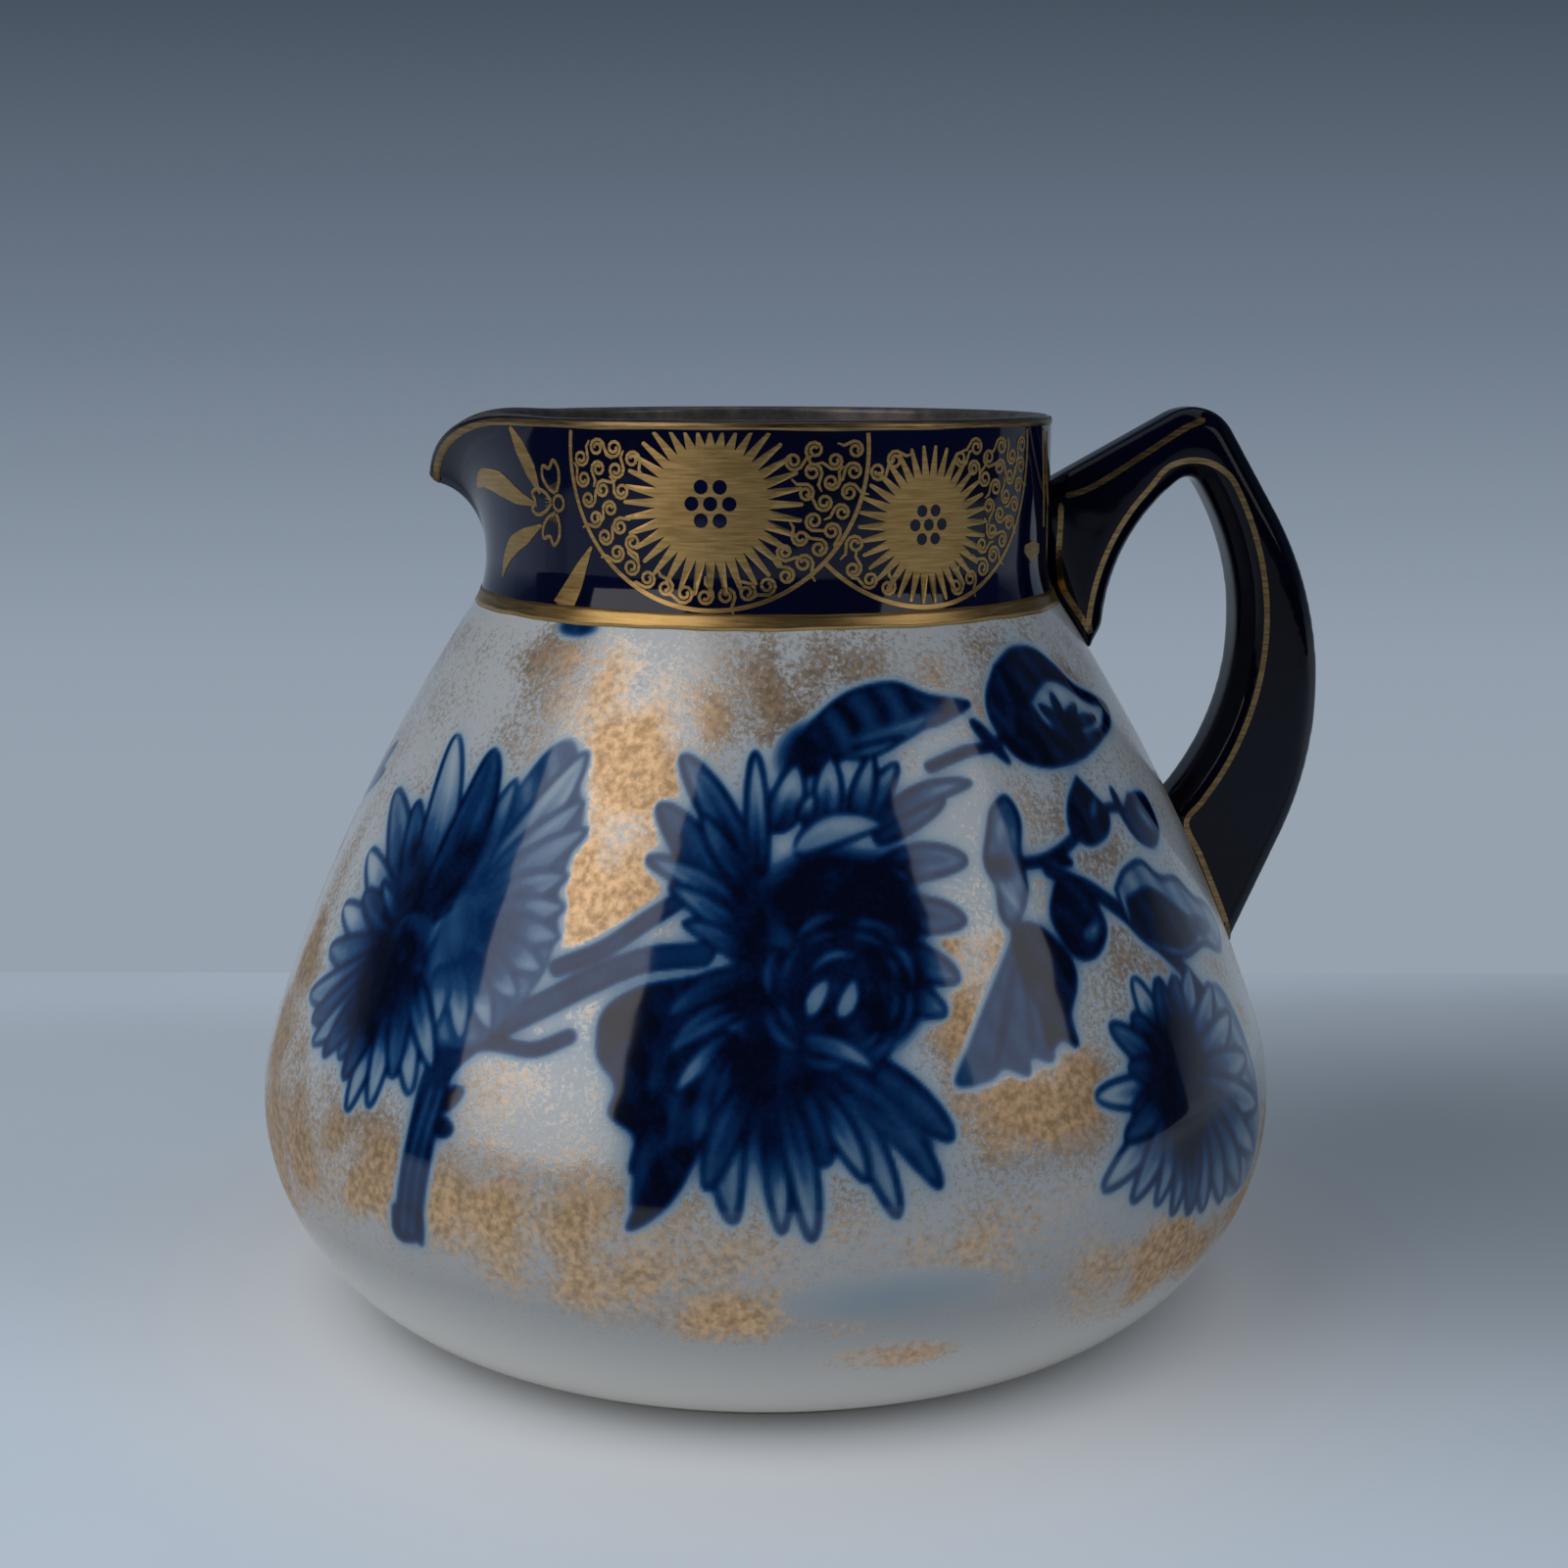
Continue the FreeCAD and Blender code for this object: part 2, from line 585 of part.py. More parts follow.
def make_handle_gold(plain, inside):
    """A gilt line along each side panel, broken where the handle is seated and bare at its back."""
    bare = bare_back()
    for side, name in ((-1, "front"), (1, "back")):
        level = side * size["handle_depth"] / 2
        panel = next(
            f for f in plain.Faces
            if f.BoundBox.YLength < 0.01 and abs(f.BoundBox.YMin - level) < 0.01
        )
        near = panel.makeOffset2D(-size["handle_margin"])
        far = panel.makeOffset2D(-size["handle_margin"] - size["handle_line"])
        strip = near.cut(far).extrude(Vector(0, side * size["gilt_skin"], 0))
        keep_shape(strip.cut(inside).cut(bare), f"gilt_handle_{name}")


def prism_at(wire, bearing, height, side):
    """A flat outline, drawn about the origin, pushed through one side of the neck."""
    solid = Part.Face(wire).extrude(Vector(0, 0, size["neck_radius"] + HEADROOM))
    solid.rotate(Vector(), Vector(1, 0, 0), 90)
    solid.rotate(Vector(), Vector(0, 0, 1), bearing)
    solid.translate(Vector(0, 0, height))
    return solid if side < 0 else solid.mirror(Vector(), Vector(0, 1, 0))


def sunburst(radius, core):
    rays = int(size["sun_rays"])
    corners = []
    for i in range(2 * rays):
        reach = radius if i % 2 == 0 else core
        corners.append(Vector(*on_circle((0, 0), reach, math.pi * i / rays), 0))
    return Part.makePolygon(corners + corners[:1])


def circle_wire(radius):
    return Part.Wire([Part.makeCircle(radius)])


def make_medallions():
    """Sunburst and outline ring of each medallion. The ring by the spout lies in front."""
    base = Vector(0, 0, size["flare_height"])
    field = size["rim_height"] - size["rim_line"] - size["flare_height"]
    skin = Part.makeCylinder(size["neck_radius"] + size["gilt_skin"], field, base)
    skin = skin.cut(Part.makeCylinder(size["neck_radius"], field, base))
    for side, face in ((-1, "front"), (1, "back")):
        hidden = None
        for end, turned in (("spout", -1), ("handle", 1)):
            bearing = turned * size[f"{end}_sun_bearing"]
            star = sunburst(size[f"{end}_sun_arc"], size[f"{end}_sun_core"])
            sun = skin.common(prism_at(star, bearing, size[f"{end}_sun_z"], side))
            disc = prism_at(circle_wire(size["ring_arc"]), bearing, size["ring_z"], side)
            hole = prism_at(
                circle_wire(size["ring_arc"] - size["ring_line"]), bearing, size["ring_z"], side
            )
            ring = skin.common(disc).cut(hole)
            if hidden is not None:
                sun, ring = sun.cut(hidden), ring.cut(hidden)
            hidden = disc
            keep_shape(sun, f"gilt_sun_{face}_{end}")
            keep_shape(ring, f"gilt_ring_{face}_{end}")


# ---------------------------------------------------------------- build, check and write
make_bowl()
make_foot()
make_neck()
make_spout()
plain_handle, jug_inside = make_handle()
doc.recompute()
make_rim_gold()
make_band(PARTS["handle"].Shape)
make_handle_gold(plain_handle, jug_inside)
make_medallions()
doc.recompute()

for item in doc.Objects:
    if "Invalid" in item.State or "Error" in item.State:
        raise SystemExit(f"{item.Label} failed: {item.State}")
for label, piece in PARTS.items():
    if piece.Shape.isNull() or not piece.Shape.isValid() or not piece.Shape.Solids:
        raise SystemExit(f"{label} has no valid solid")

os.makedirs("parts", exist_ok=True)
for label, piece in PARTS.items():
    piece.Shape.exportStep(f"parts/{label}.step")
    box = piece.Shape.BoundBox
    print(
        f"{label:24s} solids {len(piece.Shape.Solids)} volume {piece.Shape.Volume:9.1f}"
        f"  x {box.XMin:6.1f} {box.XMax:6.1f}  y {box.YMin:6.1f} {box.YMax:6.1f}"
        f"  z {box.ZMin:6.1f} {box.ZMax:6.1f}"
    )
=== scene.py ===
"""Porcelain cream jug: cobalt neck with gilt medallions, flow-blue flowers and sponged gold.

Lengths in the shape code are millimetres, and MM turns them into the metres of the frame.
Places on the jug are given as (bearing, height): the bearing is in degrees round the axis,
0 at the side that faces -Y, positive towards the handle at +X and negative towards the spout.
"""

import math

import bmesh
import bpy
import numpy as np
from mathutils import Euler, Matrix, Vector
from mathutils.bvhtree import BVHTree
from mathutils.geometry import delaunay_2d_cdt


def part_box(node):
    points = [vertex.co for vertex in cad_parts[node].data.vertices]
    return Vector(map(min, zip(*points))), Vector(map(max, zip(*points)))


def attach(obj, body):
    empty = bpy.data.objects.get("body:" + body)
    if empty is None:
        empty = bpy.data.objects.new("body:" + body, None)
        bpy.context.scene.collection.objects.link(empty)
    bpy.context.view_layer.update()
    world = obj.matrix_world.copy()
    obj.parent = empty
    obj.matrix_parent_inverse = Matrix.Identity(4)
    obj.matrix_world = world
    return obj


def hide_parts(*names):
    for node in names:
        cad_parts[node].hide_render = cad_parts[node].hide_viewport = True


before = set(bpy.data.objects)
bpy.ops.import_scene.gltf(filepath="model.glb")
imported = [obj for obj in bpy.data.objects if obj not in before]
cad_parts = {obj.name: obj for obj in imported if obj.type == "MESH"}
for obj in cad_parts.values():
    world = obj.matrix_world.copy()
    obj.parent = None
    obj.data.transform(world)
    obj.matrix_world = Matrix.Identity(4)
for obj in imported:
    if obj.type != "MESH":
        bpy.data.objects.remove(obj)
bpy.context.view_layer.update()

MM = 0.001
TAU = 2 * math.pi


def box_mm(node):
    """Lowest and highest corner of a CAD node in millimetres."""
    low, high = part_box(node)
    return Vector(low) / MM, Vector(high) / MM


# Sizes that the frame gives.
BOWL_LOW, BOWL_HIGH = box_mm("body_bowl")
NECK_LOW, NECK_HIGH = box_mm("neck_collar")
BELLY_RADIUS = BOWL_HIGH.x
BOWL_FOOT = BOWL_LOW.z
SHOULDER = NECK_LOW.z
SHOULDER_RADIUS = NECK_HIGH.x
RIM = NECK_HIGH.z
HANDLE_HALF = box_mm("handle")[1].y

# The bowl's profile: three arcs, tangent to each other.
BELLY_HEIGHT = 24.9
LOW_ARC = 27.4
HIGH_ARC = 28.0
JOIN_HEIGHT = 34.0
BOWL_WALL = 3.0
FLOOR = 4.5

# The neck and its spout.
NECK_RADIUS = 34.4
RIM_BORE = 32.0
SHOULDER_BORE = 31.6
FLARE_TOP = 91.0
SPOUT_ROOT = 91.5
SPOUT_BEARING = -90.0
SPOUT_HALF_ANGLE = 40.0
SPOUT_REACH = 6.9
SPOUT_DROP = 8.2
LIP_WALL = 1.7

# ---------------------------------------------------------------- small helpers


def at_bearing(radius, bearing, height):
    """A point in millimetres at a bearing round the jug's axis."""
    angle = math.radians(bearing)
    return Vector((radius * math.sin(angle), -radius * math.cos(angle), height))


def smooth_step(low, high, value):
    share = np.clip((value - low) / (high - low), 0.0, 1.0)
    return share * share * (3 - 2 * share)


def link(obj):
    bpy.context.scene.collection.objects.link(obj)
    return obj


def mesh_piece(name, points, faces, material):
    """A smooth mesh object from points in millimetres and faces as (n, corners) index arrays."""
    loops = np.concatenate([part.ravel() for part in faces])
    sizes = np.concatenate([np.full(len(part), part.shape[1]) for part in faces])
    mesh = bpy.data.meshes.new(name)
    mesh.vertices.add(len(points))
    mesh.vertices.foreach_set("co", (points * MM).astype(np.float32).ravel())
    mesh.loops.add(len(loops))
    mesh.loops.foreach_set("vertex_index", loops.astype(np.int32))
    mesh.polygons.add(len(sizes))
    mesh.polygons.foreach_set("loop_start", (np.cumsum(sizes) - sizes).astype(np.int32))
    mesh.update(calc_edges=True)
    mesh.shade_smooth()
    mesh.materials.append(material)
    return link(bpy.data.objects.new(name, mesh))


def grid_faces(rows, columns, closed):
    """Quads over a grid of points whose columns close, and whose rows close too if asked."""
    index = np.arange(rows * columns).reshape(rows, columns)
    right, up = np.roll(index, -1, axis=1), np.roll(index, -1, axis=0)
    quads = np.stack([index, right, np.roll(right, -1, axis=0), up], axis=-1)
    return (quads if closed else quads[:-1]).reshape(-1, 4)


def grid_mesh(name, points, material):
    """A mesh from a (rows, columns, 3) array in millimetres, closed round both ways."""
    faces = grid_faces(*points.shape[:2], closed=True)
    return mesh_piece(name, points.reshape(-1, 3), [faces], material)


def turned(sections, bearings):
    """Stands (radius, height) sections up round the axis: an array (rows, bearings, xyz)."""
    angle = np.radians(bearings)[None, :]
    radius, height = sections[..., 0], sections[..., 1]
    return np.stack([radius * np.sin(angle), -radius * np.cos(angle), height + 0 * angle], axis=-1)


def set_attribute(obj, name, values):
    layer = obj.data.attributes.new(name, "FLOAT", "POINT")
    layer.data.foreach_set("value", np.asarray(values, dtype=np.float32).ravel())


# ---------------------------------------------------------------- the jug's surfaces
def long_arc():
    """Centre and radius of the arc from the upper belly arc to the shoulder."""
    turn = math.asin((JOIN_HEIGHT - BELLY_HEIGHT) / HIGH_ARC)
    normal = Vector((math.cos(turn), math.sin(turn)))
    start = Vector((BELLY_RADIUS - HIGH_ARC, BELLY_HEIGHT)) + normal * HIGH_ARC
    step = Vector((SHOULDER_RADIUS, SHOULDER)) - start
    radius = -step.dot(step) / (2 * step.dot(normal))
    return start - normal * radius, radius


LONG_CENTRE, LONG_RADIUS = long_arc()


def bowl_radius(height, inset=0.0):
    """Radius of the bowl's outer face at a height, or of the face that far inside it."""
    if height < BELLY_HEIGHT:
        centre, up, radius = BELLY_RADIUS - LOW_ARC, BELLY_HEIGHT, LOW_ARC
    elif height < JOIN_HEIGHT:
        centre, up, radius = BELLY_RADIUS - HIGH_ARC, BELLY_HEIGHT, HIGH_ARC
    else:
        centre, up, radius = LONG_CENTRE.x, LONG_CENTRE.y, LONG_RADIUS
    return centre + math.sqrt(max(0.0, (radius - inset) ** 2 - (height - up) ** 2))


def drawn(bearing):
    """How far the spout is drawn out at a bearing: 1 at its middle, 0 outside it."""
    away = abs((bearing - SPOUT_BEARING + 180) % 360 - 180)
    share = max(0.0, 1 - away / SPOUT_HALF_ANGLE)
    return share * share * (3 - 2 * share) * (0.55 + 0.45 * share)


def lip_tops(bearing):
    """Heights where the outer and the inner face end at a bearing."""
    share = drawn(bearing)
    fall = 1 - math.sqrt(max(0.0, 1 - share * share))
    outer = RIM - SPOUT_DROP * fall
    return outer, outer + LIP_WALL * share, fall


def neck_radius(bearing, height):
    """Outer radius of neck and spout at a bearing and height."""
    if height < FLARE_TOP:
        lean = (height - SHOULDER) / (FLARE_TOP - SHOULDER)
        return SHOULDER_RADIUS + (NECK_RADIUS - SHOULDER_RADIUS) * math.sin(lean * math.pi / 2)
    if height < SPOUT_ROOT:
        return NECK_RADIUS
    top = lip_tops(bearing)[0]
    rise = min(1.0, (height - SPOUT_ROOT) / (top - SPOUT_ROOT))
    return NECK_RADIUS + SPOUT_REACH * drawn(bearing) * (1 - math.sqrt(1 - rise * rise))


def bore_radius(height):
    rise = (height - SHOULDER) / (RIM - SHOULDER)
    return SHOULDER_BORE + (RIM_BORE - SHOULDER_BORE) * rise


def neck_spot(bearing, height, lift):
    """A point on the neck's outer face, lifted off it by a few hundredths of a millimetre."""
    return at_bearing(neck_radius(bearing, height) + lift, bearing, height)


# ---------------------------------------------------------------- camera and light
CAMERA_DISTANCE = 278.2
CAMERA_HEIGHT = 115.0
CAMERA_BEARING = -5.0
CAMERA_PITCH = -10.8
CAMERA_ROLL = 0.16
CAMERA_ASIDE = 0.41
FOCAL_LENGTH = 51.75
SENSOR_WIDTH = 36.0
LIGHT_TARGET = Vector((0, 0, 50))
WORLD_COLOUR, WORLD_STRENGTH = (0.16, 0.21, 0.28, 1), 0.14


def make_camera():
    data = bpy.data.cameras.new("camera")
    data.lens = FOCAL_LENGTH
    data.sensor_width = SENSOR_WIDTH
    camera = link(bpy.data.objects.new("camera", data))
    camera.location = at_bearing(CAMERA_DISTANCE, CAMERA_BEARING, CAMERA_HEIGHT) * MM
    camera.rotation_euler = Euler((
        math.radians(90 + CAMERA_PITCH),
        math.radians(-CAMERA_ROLL),
        math.radians(CAMERA_BEARING - CAMERA_ASIDE),
    ))
    bpy.context.scene.camera = camera


def softbox(name, bearing, elevation, distance, width, height, watts, colour):
    """A rectangular light at a bearing and elevation, turned to face the jug."""
    data = bpy.data.lights.new(name, "AREA")
    data.shape = "RECTANGLE"
    data.size, data.size_y = width * MM, height * MM
    data.energy = watts
    data.color = colour
    light = link(bpy.data.objects.new(name, data))
    level = math.cos(math.radians(elevation)) * distance
    spot = at_bearing(level, bearing, LIGHT_TARGET.z + distance * math.sin(math.radians(elevation)))
    light.location = spot * MM
    light.rotation_euler = (spot - LIGHT_TARGET).to_track_quat("Z", "Y").to_euler()


def make_lights():
    softbox("key_left", -57, 34, 620, 440, 560, 1.25, (1.0, 0.985, 0.96))
    softbox("fill_right", 54, 28, 700, 330, 380, 0.44, (0.97, 0.985, 1.0))
    softbox("top", 170, 74, 800, 700, 500, 0.6, (0.93, 0.97, 1.0))
    world = bpy.data.worlds.new("studio")
    bpy.context.scene.world = world
    world.use_nodes = True
    background = world.node_tree.nodes["Background"].inputs
    background["Color"].default_value = WORLD_COLOUR
    background["Strength"].default_value = WORLD_STRENGTH


# ---------------------------------------------------------------- material nodes
class Nodes:
    """Short-hand for building a material's node tree."""

    def __init__(self, name):
        self.material = bpy.data.materials.new(name)
        self.material.use_nodes = True
        self.tree = self.material.node_tree
        self.tree.nodes.clear()
        self.output = self.tree.nodes.new("ShaderNodeOutputMaterial")

    def feed(self, socket, value):
        """Links a socket to an input, or sets the input to a value."""
        if isinstance(value, bpy.types.NodeSocket):
            self.tree.links.new(value, socket)
        else:
            socket.default_value = value

    def add(self, kind, inputs=None, **settings):
        node = self.tree.nodes.new("ShaderNode" + kind)
        for key, value in settings.items():
            setattr(node, key, value)
        for key, value in (inputs or {}).items():
            self.feed(node.inputs[key], value)
        return node

    def math(self, operation, *values, clamp=False):
        inputs = dict(enumerate(values))
        return self.add("Math", inputs, operation=operation, use_clamp=clamp).outputs[0]

    def span(self, value, from_low, from_high, to_low=0.0, to_high=1.0, smooth=False):
        """Maps one range of a value onto another, and holds it at both ends."""
        inputs = {
            "Value": value, "From Min": from_low, "From Max": from_high,
            "To Min": to_low, "To Max": to_high,
        }
        kind = "SMOOTHSTEP" if smooth else "LINEAR"
        return self.add("MapRange", inputs, interpolation_type=kind).outputs[0]

    def ramp(self, factor, stops):
        node = self.add("ValToRGB", {"Fac": factor})
        while len(node.color_ramp.elements) < len(stops):
            node.color_ramp.elements.new(1.0)
        for element, (position, colour) in zip(node.color_ramp.elements, stops):
            element.position = position
            element.color = (*colour, 1.0)
        return node.outputs["Color"]

    def mix(self, factor, first, second, blend="MIX"):
        """Mixes two colours, each a socket or a triple."""
        node = self.add("Mix", {0: factor}, data_type="RGBA", blend_type=blend)
        for slot, colour in ((6, first), (7, second)):
            is_socket = isinstance(colour, bpy.types.NodeSocket)
            self.feed(node.inputs[slot], colour if is_socket else (*colour, 1.0))
        return node.outputs[2]

    def position(self):
        return self.add("TexCoord").outputs["Object"]

    def axis(self, name):
        return self.add("SeparateXYZ", {"Vector": self.position()}).outputs[name]

    def noise(self, scale, detail=2.0, roughness=0.5):
        """Noise in the object's own frame; scale counts features per metre."""
        inputs = {
            "Vector": self.position(), "Scale": scale, "Detail": detail, "Roughness": roughness,
        }
        return self.add("TexNoise", inputs).outputs["Fac"]

    def attribute(self, name):
        return self.add("Attribute", attribute_name=name).outputs["Fac"]

    def bump(self, height, distance, strength=1.0):
        inputs = {"Height": height, "Distance": distance, "Strength": strength}
        return self.add("Bump", inputs).outputs["Normal"]

    def shader(self, inputs):
        node = self.add("BsdfPrincipled", inputs)
        self.tree.links.new(node.outputs["BSDF"], self.output.inputs["Surface"])
        return self.material


# ---------------------------------------------------------------- table and sweep
PAPER_EDGE = 134.0
SWEEP_FLAT = 340.0
SWEEP_CURVE = 45.0
SWEEP_TOP = 900.0
SWEEP_HALF_WIDTH = 1600.0
SWEEP_FRONT = -1200.0
SWEEP_STEPS = 16
TONES_TOP = 0.238


def floor_material():
    """Pale paper, lit by the studio and also glowing with painted light, darker in painted shadows.

    The painted glow grows towards the front and where the paper meets the sweep. It fades into a painted
    shadow of the jug on the right and a painted contact shadow round the foot. Near the jug the paper is
    tinted less blue, as painted light thrown back from the jug.
    """
    nodes = Nodes("stage_floor")
    tone = nodes.ramp(nodes.noise(9.0, 3.0), [(0.3, (0.50, 0.58, 0.67)), (0.7, (0.54, 0.62, 0.71))])
    depth = nodes.axis("Y")
    # Painted light: the paper glows more towards the front.
    front = nodes.span(depth, 0.03, -0.05, 0.31, 0.49, smooth=True)
    # Painted light: more glow where the paper meets the sweep.
    far = nodes.span(depth, 0.095, 0.134, 0.0, 0.075, smooth=True)
    # Painted shadow of the jug: the glow fades round a point to the right of the jug.
    squeezed = nodes.add("Mapping", {"Vector": nodes.position(), "Scale": (0.55, 1.0, 1.0)})
    shadow = {0: squeezed.outputs[0], 1: (0.085, 0.01, 0.0)}
    away = nodes.add("VectorMath", shadow, operation="DISTANCE").outputs["Value"]
    clear = nodes.span(away, 0.02, 0.13, 0.2, 1.0, smooth=True)
    gap = nodes.add("VectorMath", {0: nodes.position()}, operation="LENGTH").outputs["Value"]
    # Painted light thrown back by the jug: near it the paper is tinted less blue.
    near = nodes.span(gap, 0.095, 0.055, smooth=True)
    # Painted contact shadow: the glow drops close round the jug's foot.
    under = nodes.span(gap, 0.046, 0.062, 0.15, 1.0, smooth=True)
    tone = nodes.mix(near, tone, (0.57, 0.595, 0.63))
    # This glow is emission that stands in for light and shade on the paper.
    painted_glow = nodes.math("MULTIPLY", nodes.math("MULTIPLY", front, clear), under)
    return nodes.shader({
        "Base Color": tone, "Roughness": 0.55, "Specular IOR Level": 0.25,
        "Emission Color": tone, "Emission Strength": nodes.math("ADD", painted_glow, far),
    })


def backdrop_material():
    """Steel-blue paper that glows with painted light: paler towards the table and darker upwards."""
    nodes = Nodes("stage_backdrop")
    # Painted light and shade: the glowing paper darkens from the table upwards, standing in for the
    # studio light falling off.
    share = nodes.math("DIVIDE", nodes.axis("Z"), TONES_TOP, clamp=True)
    tone = nodes.ramp(share, [
        (0.0, (0.305, 0.36, 0.425)),
        (0.12, (0.29, 0.345, 0.41)),
        (0.51, (0.155, 0.195, 0.255)),
        (1.0, (0.040, 0.056, 0.080)),
    ])
    painted_glow = nodes.add("Emission", {"Color": tone, "Strength": 1.0})
    nodes.tree.links.new(painted_glow.outputs[0], nodes.output.inputs["Surface"])
    return nodes.material


def make_stage():
    """A table top and, behind it, a paper sweep that turns up without a corner."""
    turn = Euler((0, 0, math.radians(CAMERA_BEARING))).to_matrix()
    profile = [(SWEEP_FRONT, 0.0), (PAPER_EDGE, 0.0), (SWEEP_FLAT, 0.0)]
    for i in range(1, SWEEP_STEPS + 1):
        angle = math.pi / 2 * i / SWEEP_STEPS
        profile.append((
            SWEEP_FLAT + SWEEP_CURVE * math.sin(angle),
            SWEEP_CURVE * (1 - math.cos(angle)),
        ))
    profile.append((SWEEP_FLAT + SWEEP_CURVE, SWEEP_TOP))
    for name, material, part in (
        ("stage_table", floor_material(), profile[:2]),
        ("stage_sweep", backdrop_material(), profile[1:]),
    ):
        sides = (-SWEEP_HALF_WIDTH, SWEEP_HALF_WIDTH)
        edges = [turn @ Vector((x, y, z)) for y, z in part for x in sides]
        first = 2 * np.arange(len(part) - 1)[:, None]
        mesh_piece(name, np.array(edges), [first + (0, 1, 3, 2)], material)


# ---------------------------------------------------------------- the painting on the bowl
PAINT_STEP = 0.32
PAINT_COLUMNS = 1200
PAINT_LOW = 2.8
OUTLINE = 0.62
STEM_OUTLINE = 0.45
SOFT_EDGE = 0.22
PAINT_SEED = 7
SPRAY_TURNS = (0, 180)


def arc_rows():
    """Heights up the outside of the bowl, evenly spaced along its profile."""
    fine = np.linspace(PAINT_LOW, SHOULDER, 4001)
    radii = np.array([bowl_radius(z) for z in fine])
    run = np.concatenate([[0.0], np.cumsum(np.hypot(np.diff(fine), np.diff(radii)))])
    count = int(run[-1] / PAINT_STEP)
    even = np.linspace(0.0, run[-1], count)
    return np.interp(even, run, fine), even


def blur(values, sigma):
    """Gaussian blur in steps of the painting grid; the columns close round the jug."""
    rows, columns = values.shape
    pad = int(3 * sigma) + 1
    padded = np.pad(values, ((pad, pad), (0, 0)), mode="edge")
    row_wave = np.fft.fftfreq(padded.shape[0])[:, None]
    column_wave = np.fft.rfftfreq(columns)[None, :]
    gain = np.exp(-2 * (math.pi * sigma) ** 2 * (row_wave ** 2 + column_wave ** 2))
    return np.fft.irfft2(np.fft.rfft2(padded) * gain, s=padded.shape)[pad:pad + rows]


class Painting:
    """Cobalt laid on the bowl, as a density from 0 (bare) to 1 (nearly black) at every vertex."""

    def __init__(self):
        self.heights, self.run = arc_rows()
        self.radii = np.array([bowl_radius(z) for z in self.heights])
        self.bearings = np.arange(PAINT_COLUMNS) * 360.0 / PAINT_COLUMNS
        self.blue = np.zeros((len(self.heights), PAINT_COLUMNS))
        self.cover = np.zeros_like(self.blue)
        self.anchor = (0.0, 0.0)
        self.dice = np.random.default_rng(PAINT_SEED)

    def move_to(self, bearing, height):
        """Later strokes are in millimetres along the surface from this point."""
        self.anchor = (bearing, height)

    def window(self, centre, reach):
        """Grid patch round a local point: row and column numbers and local x and y."""
        bearing, height = self.anchor
        middle = np.interp(height, self.heights, self.run)
        y = self.run - middle
        rows = np.nonzero(np.abs(y - centre[1]) < reach)[0]
        if not len(rows):
            rows = np.array([0])
        turn = (self.bearings - bearing + 180) % 360 - 180
        width = np.radians(turn) * self.radii[rows].min()
        columns = np.nonzero(np.abs(width - centre[0]) < reach * 1.3)[0]
        x = np.radians(turn[columns])[None, :] * self.radii[rows][:, None]
        return rows, columns, x, np.broadcast_to(y[rows][:, None], x.shape)

    def lay(self, rows, columns, depth, wash, edge, line):
        """Covers what is under a stroke with a wash that has a darker outline.

        depth is the distance inside the stroke's edge, and line the outline's width.
        """
        inside = smooth_step(-SOFT_EDGE, SOFT_EDGE, depth)
        rim = smooth_step(line + SOFT_EDGE, line - SOFT_EDGE, depth)
        value = np.clip(wash + (edge - wash) * rim, 0.0, 1.0)
        place = np.ix_(rows, columns)
        self.blue[place] += (value - self.blue[place]) * inside
        self.cover[place] = np.maximum(self.cover[place], inside)

    def petal(self, start, end, width, bend=0.0, tip=0.35, base=0.82, blunt=0.5,
              edge=0.94, vein=0.35):
        """An outlined petal or leaf: dark at its base, pale towards its tip.

        bend bows the middle line sideways, as a share of the length; blunt under 1 rounds the
        tip; vein darkens the middle line.
        """
        start, end = np.array(start, float), np.array(end, float)
        length = np.hypot(*(end - start))
        way = (end - start) / length
        rows, columns, x, y = self.window((start + end) / 2, length / 2 + width + 1.0)
        along = ((x - start[0]) * way[0] + (y - start[1]) * way[1]) / length
        side = -(x - start[0]) * way[1] + (y - start[1]) * way[0]
        inner = np.clip(along, 0.0, 1.0)
        side = side - bend * length * 4 * inner * (1 - inner)
        swell = np.sin(math.pi * inner ** 0.8) ** blunt
        half = width / 2 * swell
        past = np.where(along > 1, along - 1, np.where(along < 0, -along, 0)) * length
        depth = half - np.abs(side) - past
        wash = base + (tip - base) * smooth_step(0.05, 0.85, inner)
        lane = side / np.maximum(half, 0.2)
        phase = self.dice.uniform(0, TAU)
        wash = wash + 0.10 * np.sin(lane * 6.0 + phase) * (1 - inner * 0.5)
        wash = wash + vein * 0.45 * np.exp(-(side / 0.28) ** 2) * smooth_step(0.95, 0.3, inner)
        self.lay(rows, columns, depth, wash, edge, OUTLINE)

    def fan(self, centre, petals, inner=6.0, **look):
        """Petals round a centre, each (angle in degrees, length, width, tip tone, bend)."""
        for angle, length, width, tip, bend in petals:
            way = np.array([math.cos(math.radians(angle)), math.sin(math.radians(angle))])
            centre = np.array(centre, float)
            self.petal(centre + way * inner, centre + way * length, width, bend, tip, **look)

    def stem(self, points, width, tone=0.72, edge=0.95):
        """A stroke along a smooth curve through its points, outlined on both sides."""
        path = smooth_path(points, 14)
        middle = path.mean(axis=0)
        rows, columns, x, y = self.window(middle, np.abs(path - middle).max() + width + 1.0)
        away = np.full(x.shape, 1e9)
        for px, py in path:
            away = np.minimum(away, np.hypot(x - px, y - py))
        self.lay(rows, columns, width / 2 - away, tone, edge, STEM_OUTLINE)

